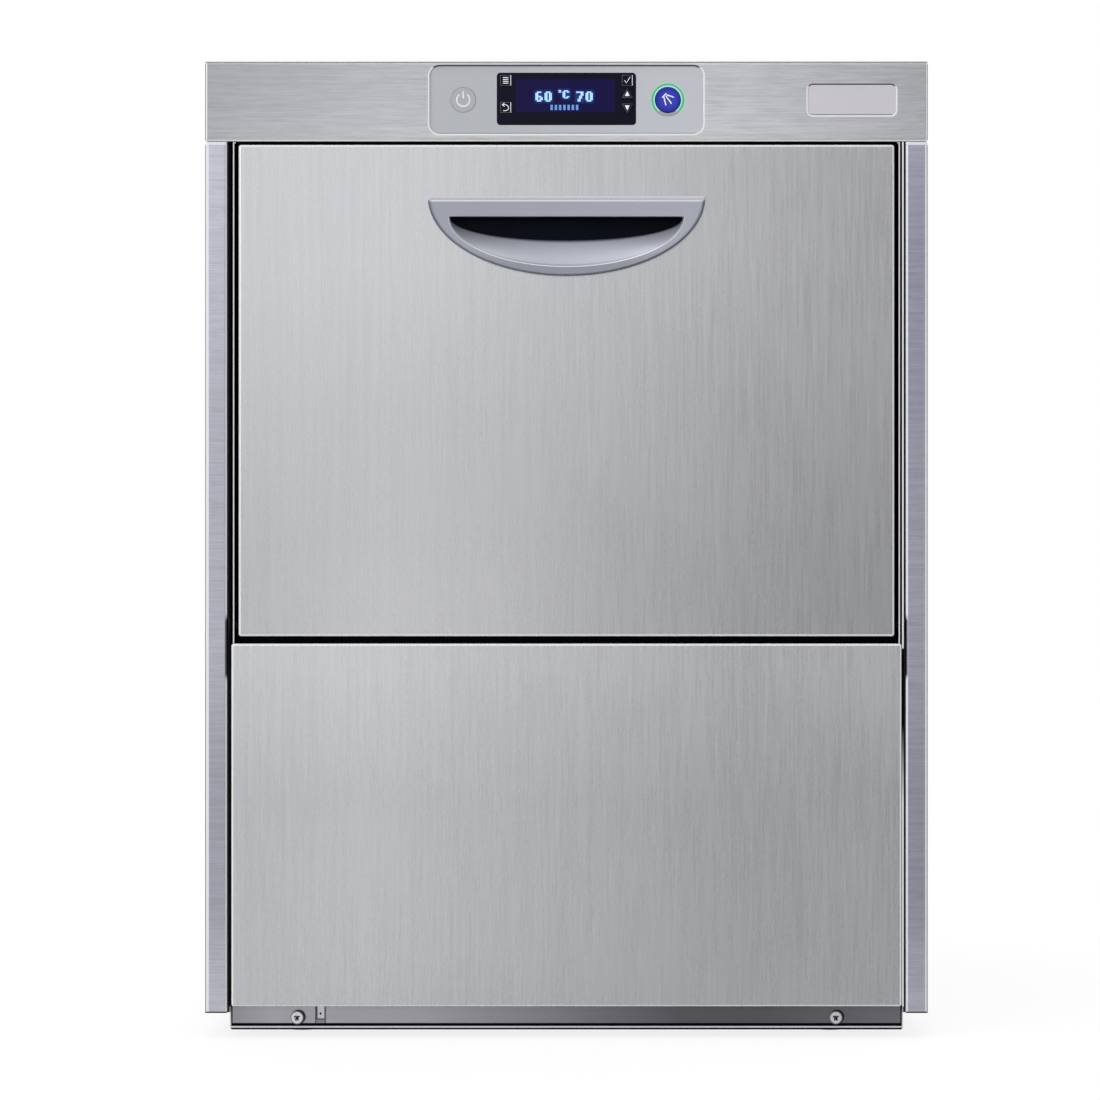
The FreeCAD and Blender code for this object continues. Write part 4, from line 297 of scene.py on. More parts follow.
underside = tray.within("Z", tray_low.z - 0.001, tray_low.z + HEM_FOOT - 0.0001) * face
hem_highlight = tray.within("Z", tray_low.z + HEM_FOOT, tray_low.z + HEM_TOP) * face
shaded_band = tray.within("Z", tray_low.z + HEM_TOP, tray_low.z + SHADED_TOP) * face
tab_sides = tray.within("X", TAB_X - TAB_HALF - TAB_GAP, TAB_X + TAB_HALF + TAB_GAP) * face
tab_foot = tray.within("X", TAB_X - TAB_HALF, TAB_X + TAB_HALF) * face
from_screws = [tray.reach(x + 0.0012, screw_z + 0.0004)[0] for x in (-screw_x, screw_x)]
screw_shadows = 1 - from_screws[0].math("MINIMUM", *from_screws).step(screw_r + 0.0002, screw_r + 0.0009)
corner = tray.near_edge("base_tray", CORNER, "X") * face
corner_shade = (tray.near_edge("base_tray", CORNER_SHADE, "X") - corner) * face
shade = tray.either(shaded_band, corner_shade, underside, (tab_sides - tab_foot) * 0.9, tab_foot * 0.35,
                    screw_shadows * face * 0.9)
tray.highlighted(tray.either(hem_highlight, corner), tray.blend(shade, tray.colour, SHADE_BLACK), rgb(226, 228, 238))
dress(tray, "base_tray")

# --- feet ----------------------------------------------------------------------------------------------
# Four screw-in feet of black moulded plastic on steel studs, one in each corner of the tray. Each is
# turned by hand to level the machine, and all four are right in here.


def moulded(name, colour, roughness=0.45, mottle=0.06, grain=0.000012, cells=1800):
    """A moulded plastic with the fine even texture of its mould and slightly uneven gloss."""
    plastic = Finish(name)
    texture = plastic.noise((cells, cells, cells), 2.0)
    cloud = plastic.noise((22, 22, 22), 2.0)
    plastic.colour = plastic.tinted(colour, 1 + (texture - 0.5) * mottle + (cloud - 0.5) * mottle)
    return plastic.surface(Base_Color=plastic.colour, Roughness=roughness + (cloud - 0.5) * 0.12,
                           Normal=plastic.relief(texture, grain))


black_plastic = moulded("black_plastic", rgb(52, 52, 55))
dress(black_plastic, "front_left_foot", "front_right_foot", "rear_left_foot", "rear_right_foot")

# --- outer casing --------------------------------------------------------------------------------------
# Lid, side panels and lower front of ground stainless sheet, folded at every edge, and a mill-finish back.
# The side panels carry the narrow front columns, with painted highlights along both edges and at the head,
# painted shade on the outer edge line, along the foot and beside the door's hinge, and a painted blue
# reflection on the front. Pan head screws, their cross recesses painted dark as shade, hold the back and
# the lower front panel.

# How many scratches a metre the finer grain holds, along it and across it.
FINE_GRAIN = (45, 950)
# The widths of a column's painted lines of light and shade, and the heights between which the painted shade
# on its inner line, beside the hinge, fades out at its foot and at its top.
OUTLINE = 0.0008
INNER_BAND, HEAD_BAND, FOOT_LINE = 0.0014, 0.0030, 0.0011
HINGE_FOOT, HINGE_TOP = (0.287, 0.292), (0.335, 0.341)
fascia_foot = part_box("control_fascia")[0].z
column_low, column_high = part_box("right_side_panel")
column_foot, outer_edge, inner_edge = column_low.z, column_high.x, column_low.x
for side, band, blue_reflection, shades in (
        ("left", 0.0031, 0.11,
         (("Z", 0.50, 0.70, 0.22), ("Z", 0.30, 0.22, -0.20), ("Z", 0.11, 0.035, 0.37))),
        ("right", 0.0022, 0.20,
         (("Z", 0.64, 0.72, 0.20), ("Z", 0.54, 0.38, 0.20), ("Z", 0.33, 0.22, -0.13),
          ("Z", 0.11, 0.035, 0.45)))):
    panel = side + "_side_panel"
    column = ground_steel(side + "_column_finish", rgb(198, 199, 205), "xy", 0.36, 0.55, folded=panel,
                          letters="X", shades=shades, cells=FINE_GRAIN)
    # Painted highlights and shade along the column's lines, painted light and shade up its height, and a
    # painted blue reflection on its front.
    out, rise = abs(column.axis("X")), column.axis("Z")
    edge_line = out.step(outer_edge - OUTLINE - 0.0001, outer_edge - OUTLINE + 0.0001)
    outer_band = out.step(outer_edge - band - 0.0002, outer_edge - band) * (1 - edge_line)
    beside_hinge = 1 - column.either(rise.step(*HINGE_TOP), 1 - rise.step(*HINGE_FOOT))
    inner_band = 1 - out.step(inner_edge + INNER_BAND - 0.0001, inner_edge + INNER_BAND + 0.0001)
    head = column.within("Z", fascia_foot - HEAD_BAND, fascia_foot)
    foot_line = 1 - rise.step(column_foot + FOOT_LINE - 0.0001, column_foot + FOOT_LINE + 0.0001)
    highlights = column.either(outer_band, inner_band * (1 - beside_hinge), head) * (1 - foot_line)
    shadows = column.either(edge_line * 0.75, foot_line, inner_band * beside_hinge * 0.8) * column.front
    reflected_blue = column.blend(column.front * blue_reflection, column.colour, rgb(198, 199, 255))
    column.highlighted(highlights * column.front, column.blend(shadows, reflected_blue, SHADE_BLACK), rgb(244, 245, 252))
    dress(column, panel)

lid_finish = ground_steel("lid_finish", rgb(212, 213, 216), "x")
lid_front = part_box("top_lid")[0].y
# A painted highlight along the lid's front edge.
lid_edge_highlight = 1 - lid_finish.axis("Y").step(lid_front + 0.0001, lid_front + 0.0003)
dress(lid_finish.highlighted(lid_edge_highlight * 0.8, lid_finish.colour), "top_lid")

# Light and shade are painted across the panel, the tab's hole is painted dark as shade, and the panel's foot
# has a painted highlight.
TAB_HOLE_Z, TAB_HOLE_R = 0.0191, 0.0009
front_finish = ground_steel(
    "front_panel_finish", rgb(211, 212, 215), "z", folded="lower_front_panel",
    shades=(("Z", 0.19, 0.30, 0.14), ("X", -0.25, -0.16, 0.10), ("X", 0.14, 0.25, 0.12)))
tab_hole_shade = front_finish.reach(TAB_X, TAB_HOLE_Z)[0] < TAB_HOLE_R
lower_highlight = front_finish.within("Z", tray_high.z, tray_high.z + 0.0014) * front_finish.front
front_finish.highlighted(front_finish.either(front_finish.fold, lower_highlight),
                      front_finish.blend(tab_hole_shade, front_finish.colour, SHADE_BLACK))
dress(front_finish, "lower_front_panel")
dress(mill_steel("back_finish", rgb(198, 199, 201)), "rear_panel")

bright_steel = Finish("bright_fastener_finish")
turning = bright_steel.noise((900, 900, 900), 2.0)
bright_steel.surface(
    Base_Color=bright_steel.tinted(rgb(222, 222, 226), 1 + (turning - 0.5) * 0.08), Metallic=1.0,
    Roughness=0.2 + (turning - 0.5) * 0.12, Normal=bright_steel.relief(turning, 0.000004))

# Each front screw head is painted dark as shade in its cross recess and round its rim.
CROSS_HALF, CROSS_REACH = 0.0007, 0.0026
COS_TURN, SIN_TURN = 0.87, 0.5
cross_head = Finish("front_screw_finish")
reach, dx, dz = cross_head.reach(screw_x, screw_z)
reach_left, dx_left, _ = cross_head.reach(-screw_x, screw_z)
dx = dx.math("MINIMUM", abs(dx), abs(dx_left))
reach = reach.math("MINIMUM", reach, reach_left)
along, aside = dx * COS_TURN + dz * SIN_TURN, dz * COS_TURN - dx * SIN_TURN
cross_shade = cross_head.either(abs(along) < CROSS_HALF, abs(aside) < CROSS_HALF) * (reach < CROSS_REACH)
head_rim_shade = reach.step(screw_r - 0.0011, screw_r - 0.0004) * 0.75
cross_head.surface(Metallic=0.5, Roughness=0.26, Base_Color=cross_head.blend(
    cross_head.either(cross_shade, head_rim_shade), rgb(240, 240, 244), rgb(26, 26, 30)))
dress(cross_head, "front_panel_screws")


class Pattern(Graph):
    """A geometry node tree. Each keyword is a size that it takes as a named input."""

    def __init__(self, name, **sizes):
        super().__init__(bpy.data.node_groups.new(name, "GeometryNodeTree"))
        self.name, self.sizes = name, sizes
        face = self.tree.interface
        for label, size in sizes.items():
            kind = "NodeSocketInt" if isinstance(size, int) else "NodeSocketFloat"
            face.new_socket(label, in_out="INPUT", socket_type=kind)
        face.new_socket("Geometry", in_out="OUTPUT", socket_type="NodeSocketGeometry")
        given = self.tree.nodes.new("NodeGroupInput")
        for label in sizes:
            setattr(self, label, Wire(self, given.outputs[label]))

    def vector(self, x, y, z):
        return self.node("ShaderNodeCombineXYZ", {}, {0: x, 1: y, 2: z})

    def row(self, count, start, step):
        """Points in a straight row."""
        return self.node("GeometryNodeMeshLine", {"mode": "OFFSET"},
                         {"Count": count, "Start Location": start, "Offset": step})

    def joined(self, *parts):
        return self.node("GeometryNodeJoinGeometry", {}, {0: list(parts)})

    def at(self, points, piece, **sockets):
        """The piece at each of the points."""
        return self.node("GeometryNodeInstanceOnPoints", {}, {"Points": points, "Instance": piece, **sockets})

    def moved(self, piece, offset, turn=(0.0, 0.0, 0.0)):
        return self.node("GeometryNodeTransform", {},
                         {"Geometry": piece, "Translation": offset, "Rotation": turn})

    def dressed(self, piece, finish):
        return self.node("GeometryNodeSetMaterial", {}, {"Geometry": piece, "Material": finish.material})

    def make(self, geometry, finish=None):
        """Runs the tree with its sizes and keeps the result as a plain mesh object, without the modifier."""
        whole = self.node("GeometryNodeRealizeInstances", {}, {0: geometry})
        if finish:
            whole = self.dressed(whole, finish)
        end = self.tree.nodes.new("NodeGroupOutput")
        self.tree.links.new(whole.socket, end.inputs[0])
        piece = bpy.data.objects.new(self.name, bpy.data.meshes.new(self.name))
        bpy.context.scene.collection.objects.link(piece)
        modifier = piece.modifiers.new("pattern", "NODES")
        modifier.node_group = self.tree
        for item in self.tree.interface.items_tree:
            if item.in_out == "INPUT":
                modifier[item.identifier] = self.sizes[item.name]
        ready = piece.evaluated_get(bpy.context.evaluated_depsgraph_get())
        mesh = bpy.data.meshes.new_from_object(ready)
        piece.modifiers.remove(modifier)
        piece.data = mesh
        return piece


back_low, back_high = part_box("rear_panel")
SCREWS_A_SIDE = 6
back_screws = Pattern("back_panel_screws", count=SCREWS_A_SIDE, head=0.0036, height=0.0018, edge=0.010,
                      half=back_high.x, face=back_high.y, foot=back_low.z + 0.03,
                      rise=(back_high.z - back_low.z - 0.05) / (SCREWS_A_SIDE - 1))
dome = back_screws.node("GeometryNodeMeshCone", {}, {
    "Vertices": 24, "Side Segments": 3, "Radius Top": back_screws.head * 0.55,
    "Radius Bottom": back_screws.head, "Depth": back_screws.height})
cross = [back_screws.node("GeometryNodeMeshCube", {}, {"Size": back_screws.vector(*size)}) for size in (
    (back_screws.head * 0.9, back_screws.head * 0.2, back_screws.height * 0.3),
    (back_screws.head * 0.2, back_screws.head * 0.9, back_screws.height * 0.3))]
# A dark cross on each head is the painted shade of its recess.
recess_shade = moulded("screw_recess_finish", rgb(38, 38, 40), 0.6)
recess = back_screws.moved(back_screws.joined(*cross), back_screws.vector(0.0, 0.0, back_screws.height * 0.9))
screw = back_screws.joined(back_screws.dressed(dome, bright_steel), back_screws.dressed(recess, recess_shade))
upright = back_screws.moved(screw, (0.0, 0.0, 0.0), (-math.pi / 2, 0.0, 0.0))
sides = [back_screws.row(back_screws.count, back_screws.vector(x, back_screws.face, back_screws.foot),
                         back_screws.vector(0.0, 0.0, back_screws.rise))
         for x in (back_screws.edge - back_screws.half, back_screws.half - back_screws.edge)]
screws = back_screws.make(back_screws.at(back_screws.joined(*sides), upright))
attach(screws, "cabinet")

# --- control fascia ------------------------------------------------------------------------------------
# The folded steel front above the door, pressed in for the keypad and for a bare plate at the right. It is
# ground along its length, across the door's lines, with light and shade painted across it.
# Its hems and the walls of both recesses have painted highlights, and painted shade lies at the recesses'
# tops and on the outer line at each end.

RECESS_PLAY = 0.0002
fascia = ground_steel(
    "fascia_finish", rgb(184, 185, 189), "x", 0.34, 0.52, folded="control_fascia", letters="X",
    shades=(("X", -0.29, -0.14, 0.38), ("X", -0.13, 0.13, 0.30), ("X", 0.14, 0.29, -0.16),
            ("Z", 0.770, 0.730, 0.07)), cells=FINE_GRAIN)
fascia_low, fascia_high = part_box("control_fascia")
hem_highlights = fascia.either(
    fascia.within("Z", fascia_low.z, fascia_low.z + 0.0012),
    fascia.within("Z", fascia_high.z - 0.0009, fascia_high.z + 0.0001))
highlights = fascia.either(fascia.fold, hem_highlights * fascia.front)
colour = fascia.colour
for pressed, corner in (("control_overlay", 0.008), ("badge_plate", 0.004)):
    low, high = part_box(pressed)
    wall = fascia.rounded(low.x - RECESS_PLAY, low.z - RECESS_PLAY,
                          high.x + RECESS_PLAY, high.z + RECESS_PLAY, corner)
    # Painted highlights on each recess wall, with painted shade at its top.
    edge = wall.step(-0.0006, -0.0003) * (1 - wall.step(0.0013, 0.0016))
    top = fascia.axis("Z").step(high.z - 0.0016, high.z - 0.0008)
    highlights = fascia.either(highlights, edge * (1 - top))
    colour = fascia.blend(edge * top * (1 - wall.step(0.0007, 0.0009)), colour, rgb(108, 106, 112))
end_shade = abs(fascia.axis("X")).step(outer_edge - OUTLINE - 0.0001, outer_edge - OUTLINE + 0.0001)
end_shade = end_shade * fascia.front
fascia.highlighted(highlights * (1 - end_shade), fascia.blend(end_shade, colour, rgb(104, 104, 110)))
dress(fascia, "control_fascia")
plate_finish = moulded("plate_finish", rgb(226, 222, 231), 0.4)
plate_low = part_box("badge_plate")[0]
# Painted shade darkens the plate's foot.
plate_foot_shade = plate_finish.within("Z", plate_low.z, plate_low.z + 0.0007)
plate_finish.surface(Base_Color=plate_finish.blend(plate_foot_shade * 0.6, plate_finish.colour, rgb(70, 70, 78)),
                     Metallic=0.25)
dress(plate_finish, "badge_plate")
dress(moulded("circuit_board_finish", rgb(30, 84, 52), 0.5), "control_board")

# --- keypad --------------------------------------------------------------------------------------------
# A silver polyester film in the recess, with an embossed round key at each side of the display. The
# start key is a blue lens in a green ring of light that is dark for the lowest part of its turn.

start_low, start_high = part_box("start_button")
power_low, power_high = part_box("power_button")
start_x, power_x, key_z = ((start_low.x + start_high.x) / 2, (power_low.x + power_high.x) / 2,
                           (start_low.z + start_high.z) / 2)
RING_DARK = 0.0088
film = Finish("keypad_film_finish")
texture = film.noise((2600, 2600, 2600), 2.0)
start_reach, _, start_dz = film.reach(start_x, key_z)
power_reach, _, _ = film.reach(power_x, key_z)
# Painted light: the ring's green glow over the film round it.
glow = (1 - start_reach.step(0.0129, 0.0146)) * (start_dz + RING_DARK + 0.0007).step(-0.001, 0.001)
# Painted shade dims the power key's dish and the film's foot, and painted light lifts the film to the right.
dish_shade = 1 - power_reach.step(0.0096, 0.0116)
film_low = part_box("control_overlay")[0]
film_foot_shade = film.within("Z", film_low.z, film_low.z + 0.0006)
silver_light_and_shade = film.tinted(rgb(199, 202, 208), 1 + (texture - 0.5) * 0.05 - dish_shade * 0.09 - film_foot_shade * 0.45
                     + film.axis("X").step(-0.06, 0.08) * 0.16)
film.surface(Base_Color=film.blend(glow * 0.75, silver_light_and_shade, rgb(150, 222, 176)), Roughness=0.42, Metallic=0.25,
             Emission_Color=film.tinted(rgb(120, 230, 160), glow * 0.5), Emission_Strength=0.5,
             Normal=film.relief(texture, 0.000008))
dress(film, "control_overlay", "power_button")

ring = Finish("light_ring_finish")
ring_reach, _, ring_dz = ring.reach(start_x, key_z)
lit = (ring_dz + RING_DARK).step(-0.0004, 0.0004)
rim = 1 - ring_reach.step(0.0112, 0.0118)
ring_colour = ring.blend(rim, rgb(74, 176, 128), rgb(176, 236, 236))
ring.surface(Base_Color=ring.blend(lit, rgb(176, 182, 190), ring_colour), Roughness=0.35,
             Emission_Color=ring.blend(lit, (0.0, 0.0, 0.0), ring_colour), Emission_Strength=0.35)
dress(ring, "start_light_ring")

lens = Finish("start_lens_finish")
lens_reach, _, _ = lens.reach(start_x, key_z)
edge = lens_reach.step(0.0060, 0.0107)
lens.surface(Base_Color=lens.blend(edge, rgb(52, 60, 168), rgb(38, 36, 126)), Roughness=0.2,
             Emission_Color=lens.blend(edge, rgb(44, 54, 170), rgb(30, 26, 110)), Emission_Strength=0.35,
             Specular_IOR_Level=0.2)
dress(lens, "start_button")


def printed(name, body, face, finish, strokes=(), fills=(), width=0.0009, thick=0.00008):
    """A thin layer on a face that looks forward, centred on it, that moves with a body.

    Strokes are chains of (x, z), drawn as round lines of that width and pressed flat. Fills are closed
    outlines of (x, z), anticlockwise as seen from the front.
    """
    drawn = bmesh.new()
    for chain in strokes:
        curve = bpy.data.curves.new(name, "CURVE")
        curve.dimensions = "3D"
        curve.bevel_depth, curve.bevel_resolution, curve.use_fill_caps = width / 2, 1, True
        spline = curve.splines.new("POLY")
        spline.points.add(len(chain) - 1)
        for point, (x, z) in zip(spline.points, chain):
            point.co = (x, 0, z, 1)
        holder = bpy.data.objects.new(name, curve)
        bpy.context.scene.collection.objects.link(holder)
        mesh = bpy.data.meshes.new_from_object(holder.evaluated_get(bpy.context.evaluated_depsgraph_get()))
        drawn.from_mesh(mesh)
        bpy.data.objects.remove(holder)
    bmesh.ops.scale(drawn, vec=(1, thick / width, 1), verts=drawn.verts)
    for outline in fills:
        front = [drawn.verts.new((x, -thick / 2, z)) for x, z in outline]
        back = [drawn.verts.new((x, thick / 2, z)) for x, z in outline]
        drawn.faces.new(front)
        drawn.faces.new(back[::-1])
        for i in range(len(front)):
            j = (i + 1) % len(front)
            drawn.faces.new((front[j], front[i], back[i], back[j]))
    bmesh.ops.translate(drawn, vec=(0, face, 0), verts=drawn.verts)
    bmesh.ops.recalc_face_normals(drawn, faces=drawn.faces)
    mesh = bpy.data.meshes.new(name)
    drawn.to_mesh(mesh)
    drawn.free()
    mesh.materials.append(finish.material)
    piece = bpy.data.objects.new(name, mesh)
    bpy.context.scene.collection.objects.link(piece)
    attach(piece, body)
    return piece


def arc(x, z, radius, start, end, steps=24):
    """Points along an arc, from start to end degrees, counted anticlockwise from +X."""
    angles = [math.radians(start + (end - start) * i / steps) for i in range(steps + 1)]
    return [(x + radius * math.cos(a), z + radius * math.sin(a)) for a in angles]


def ink(name, colour, glow=0.0):
    """A print with a slightly uneven coat. It glows where a lamp lies behind it."""
    print_coat = Finish(name)
    coat = print_coat.noise((1500, 1500, 1500), 2.0)
    tone = 1 + (coat - 0.5) * 0.06
    return print_coat.surface(Base_Color=print_coat.tinted(colour, tone), Roughness=0.4,
                              Emission_Color=(*colour, 1.0), Emission_Strength=glow)


white_ink = ink("white_ink", rgb(236, 238, 244), 0.25)
# The pale ink's faint glow on the power key is painted light.
pale_ink = ink("pale_ink", rgb(240, 241, 245), 0.1)
printed("power_symbol", "power_button", power_low.y, pale_ink,
        [arc(power_x, key_z, 0.0052, 125, 415, 40), [(power_x, key_z + 0.0012), (power_x, key_z + 0.0068)]],
        width=0.0014)


def spots(middle_x, middle_z, chain):
    """A chain of points given in millimetres from a key's middle."""
    return [(middle_x + x / 1000, middle_z + z / 1000) for x, z in chain]


SPRAY = (((-4.7, 1.6), (-1.3, 5.1)), ((-1.0, 3.9), (4.7, 1.9)), ((-1.8, 3.2), (2.9, -3.2)),
         ((-3.3, 2.3), (-1.6, -4.5)))
printed("start_symbol", "start_button", start_low.y, white_ink,
        [spots(start_x, key_z, stroke) for stroke in SPRAY], width=0.0011)

# --- display -------------------------------------------------------------------------------------------
# A dark acrylic lens over a blue screen. The screen shows two temperatures and a row of plain blocks.
# Five touch keys lie in the lens, each with a white symbol inside a thin grey frame.

window = Finish("display_lens_finish")
haze = window.noise((40, 40, 40), 2.0)
window.surface(Base_Color=window.tinted(rgb(17, 17, 36), 1 + (haze - 0.5) * 0.3), Roughness=0.12,
               Specular_IOR_Level=0.12, Normal=window.relief(haze, 0.000002))
dress(window, "display_window", "menu_key", "back_key", "confirm_key", "up_key", "down_key")

# The screen lies off the lens's middle. Each figure has its left edge and foot in the screen, and its size.
window_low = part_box("display_window")[0]
screen_x, screen_z = window_low.x + 0.01515, window_low.z + 0.0103
SCREEN_WIDTH, SCREEN_HEIGHT = 0.0795, 0.0263
DIGIT, DEGREE, LETTER = (0.0059, 0.0081), (0.0021, 0.0021), (0.0055, 0.0066)
FIGURES = (("6", 0.0157, 0.0084, DIGIT), ("0", 0.0230, 0.0084, DIGIT), ("°", 0.0343, 0.0156, DEGREE),
           ("C", 0.0375, 0.0109, LETTER), ("7", 0.0484, 0.0084, DIGIT), ("0", 0.0559, 0.0084, DIGIT))
DOTS = {"0": "01110 11011 11011 11011 11011 11011 01110", "6": "01110 11000 11000 11110 11011 11011 01110",
        "7": "11111 00011 00011 00110 00110 01100 01100", "C": "01110 11011 11000 11000 11000 11011 01110",
        "°": "111 101 111"}
DOT_FILL = 0.96
BLOCKS, BLOCK_PITCH, BLOCK_WIDTH, BLOCK_HEIGHT = 7, 0.0034, 0.0019, 0.0042
BLOCKS_LEFT, BLOCKS_FOOT = 0.0278, 0.0016


def oblong(x, z, wide, tall):
    """The outline of an upright oblong from its lower left corner."""
    return [(x, z), (x + wide, z), (x + wide, z + tall), (x, z + tall)]


# The figures are drawn in dots, and light spills over the screen round each of them.
screen_glow = Finish("lit_screen_finish")
raster = screen_glow.noise((300, 300, 300), 1.0)
halo = 0.0
dots = []
for figure, left, foot, (figure_width, figure_height) in FIGURES:
    x, z = screen_x + left, screen_z + foot
    around = screen_glow.rounded(x, z, x + figure_width, z + figure_height, 0.001)
    halo = around.math("MAXIMUM", halo, 1 - around.step(-0.0004, 0.0020))
    rows = DOTS[figure].split()
    wide, tall = figure_width / len(rows[0]), figure_height / len(rows)
    for up, row in enumerate(reversed(rows)):
        dots += [oblong(x + across * wide, z + up * tall, wide * DOT_FILL, tall * DOT_FILL)
                 for across, dot in enumerate(row) if dot == "1"]
screen_glow.surface(Base_Color=screen_glow.tinted(rgb(14, 12, 46), 1 + (raster - 0.5) * 0.1), Roughness=0.3,
                    Specular_IOR_Level=0.1, Emission_Strength=0.6,
                    Emission_Color=screen_glow.blend(halo * 0.75, rgb(20, 17, 66), rgb(52, 78, 170)))
blocks = [oblong(screen_x + BLOCKS_LEFT + number * BLOCK_PITCH, screen_z + BLOCKS_FOOT,
                 BLOCK_WIDTH, BLOCK_HEIGHT) for number in range(BLOCKS)]
for name, above, finish, fills, thick in (
        ("lit_screen", 0.0, screen_glow, [oblong(screen_x, screen_z, SCREEN_WIDTH, SCREEN_HEIGHT)], 0.00006),
        ("screen_figures", 0.00012, ink("lit_figure_finish", rgb(158, 204, 244), 0.62), dots, 0.00004),
        ("screen_blocks", 0.0001, ink("lit_block_finish", rgb(96, 140, 214), 0.4), blocks, 0.00004)):
    printed(name, "cabinet", window_low.y - above, finish, fills=fills, thick=thick)

# Strokes of the key symbols, and the arrow and its frame for the up key, in millimetres from the middle.
SYMBOLS = {
    "menu_key": [[(-2.2, z), (2.2, z)] for z in (2.2, 0.7, -0.8, -2.3)],
    "back_key": [[(-2.6, 2.2), (0.4, 2.2), (2.0, 1.0), (2.4, -0.4), (1.8, -1.8), (0.2, -2.6), (-2.0, -2.6)],
                 [(-1.0, 3.6), (-2.8, 2.2), (-1.0, 0.8)]],
    "confirm_key": [[(-2.2, 0.0), (-0.7, -2.1), (2.3, 2.6)]],
}
ARROW = ((-1.9, -1.7), (1.9, -1.7), (0, 2.3))
ARROW_FRAME = ((-4.0, -2.9), (0, 4.1), (4.0, -2.9), (-4.0, -2.9))
SYMBOL_LINE, FRAME_LINE, HIGHLIGHT_LINE, FRAME_INSET = 0.0007, 0.0003, 0.0006, 0.0003
grey_ink = ink("grey_ink", rgb(120, 122, 132), 0.08)
for key in ("menu_key", "back_key", "confirm_key", "up_key", "down_key"):
    low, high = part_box(key)
    x, z = (low.x + high.x) / 2, (low.z + high.z) / 2
    half = (high.x - low.x) / 2 - FRAME_INSET
    if key in SYMBOLS:
        printed(key + "_symbol", key, low.y, white_ink,
                [spots(x, z, chain) for chain in SYMBOLS[key]], width=SYMBOL_LINE)
        frame_line = [(x - half, z + half), (x - half, z - half), (x + half, z - half), (x + half, z + half),
                      (x - half, z + half)]
    else:
        way = 1 if key == "up_key" else -1
        arrow, frame_line = (spots(x, z, [(across, up * way) for across, up in chain])
                             for chain in (ARROW, ARROW_FRAME))
        printed(key + "_symbol", key, low.y, white_ink, fills=[arrow[::way]])
    printed(key + "_frame", key, low.y, grey_ink, [frame_line], width=FRAME_LINE)
    # A painted highlight along the right side of each framed key.
    if key in SYMBOLS:
        printed(key + "_highlight", key, low.y, white_ink,
                [[(x + half, z - half), (x + half, z + half)]], width=HIGHLIGHT_LINE)

# --- door ----------------------------------------------------------------------------------------------
# A folded steel skin over a steel liner, hinged at its foot. The half-oval handle is a satin silver
# moulding let into the skin, with a mouth under its grip painted dark as shade and a bowl below it for the
# fingers. The hinge arms and their bushes are painted near black as shade outside the frame. Two coil
# springs hold the door.

door_finish = ground_steel(
    "door_skin_finish", rgb(209, 210, 213), "z", folded="door_outer_skin",
    shades=(("Z", 0.40, 0.62, 0.18), ("X", -0.25, -0.12, 0.10), ("X", 0.10, 0.20, -0.05)))
# Light and shade are painted across the skin, with extra painted light left of middle, low down.
lit_patch = door_finish.within("X", -0.20, 0.0, 0.05) * (1 - door_finish.axis("Z").step(0.36, 0.50))
door_finish.highlighted(door_finish.fold, door_finish.blend(lit_patch * 0.3, door_finish.colour, rgb(250, 250, 250)))
dress(door_finish, "door_outer_skin")
door_low, door_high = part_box("door_outer_skin")
grip_low, grip_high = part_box("door_handle")
# How tall the grip is, half the width of the half ovals below it, and how far its mouth and bowl drop.
GRIP_HEIGHT, OVAL_HALF, MOUTH_DROP, BOWL_DROP = 0.0163, 0.0944, 0.0185, 0.0404
grip_foot = grip_high.z - GRIP_HEIGHT
grip = moulded("handle_finish", rgb(176, 180, 193), 0.38, 0.05, 0.000010, 2600)


def half_oval(drop):
    """How far out a point lies in a half oval below the grip: 0 in its middle, 1 on its line."""
    across, down = grip.axis("X") / OVAL_HALF, (grip_foot - grip.axis("Z")) / drop
    return across * across + down * down


# Painted shade: the mouth under the grip, the foot and the outer rim. Painted light: the bowl, more at its
# ends and most at the left, and the handle lighter to the right. Painted highlights: the bowl's rim line, the
# bevel along the top and the crest line below it.
below_grip = 1 - grip.axis("Z").step(grip_foot - 0.0002, grip_foot + 0.0002)
behind_face = grip.axis("Y").step(door_low.y - 0.0034, door_low.y - 0.0026)
mouth_shade = grip.either(
    grip.axis("Y").step(door_low.y + 0.0066, door_low.y + 0.0080),
    below_grip * behind_face * (1 - half_oval(MOUTH_DROP).step(0.90, 1.0)))
lit_bowl = below_grip * behind_face * half_oval(MOUTH_DROP).step(0.9, 3.2)
rim = below_grip * half_oval(BOWL_DROP).step(0.965, 0.98) * (1 - half_oval(BOWL_DROP).step(1.0, 1.015))
shaded_end = 1 - grip.axis("X").step(-0.095, -0.02)
bowl_light = grip.blend(abs(grip.axis("X")).step(0.045, 0.09), rgb(218, 221, 232), rgb(250, 251, 255))
to_right = grip.axis("X").step(-0.06, 0.10)
to_foot = 1 - grip.axis("Z").step(grip_low.z + 0.008, grip_low.z + 0.020)
silver_and_painted_light = grip.blend(to_right * 0.6, grip.colour, rgb(196, 200, 214))
silver_and_painted_light = grip.blend(to_foot * 0.6, silver_and_painted_light, rgb(148, 152, 164))
silver_and_painted_light = grip.blend(lit_bowl * (0.62 + shaded_end * 0.38), silver_and_painted_light, bowl_light)
silver_and_painted_light = grip.blend(rim, silver_and_painted_light, rgb(246, 248, 252))
bevel = grip.axis("Z").step(grip_high.z - 0.0036, grip_high.z - 0.0032)
crest = grip.within("Z", grip_high.z - 0.0044, grip_high.z - 0.0034)
out_x = grip.axis("X") / grip_high.x
out_z = (grip_high.z - grip.axis("Z")) / (grip_high.z - grip_low.z)
outer_rim = (out_x * out_x + out_z * out_z).step(0.945, 0.985) * (1 - bevel)
silver_and_painted_light = grip.blend(bevel * 0.6, silver_and_painted_light, rgb(222, 222, 232))
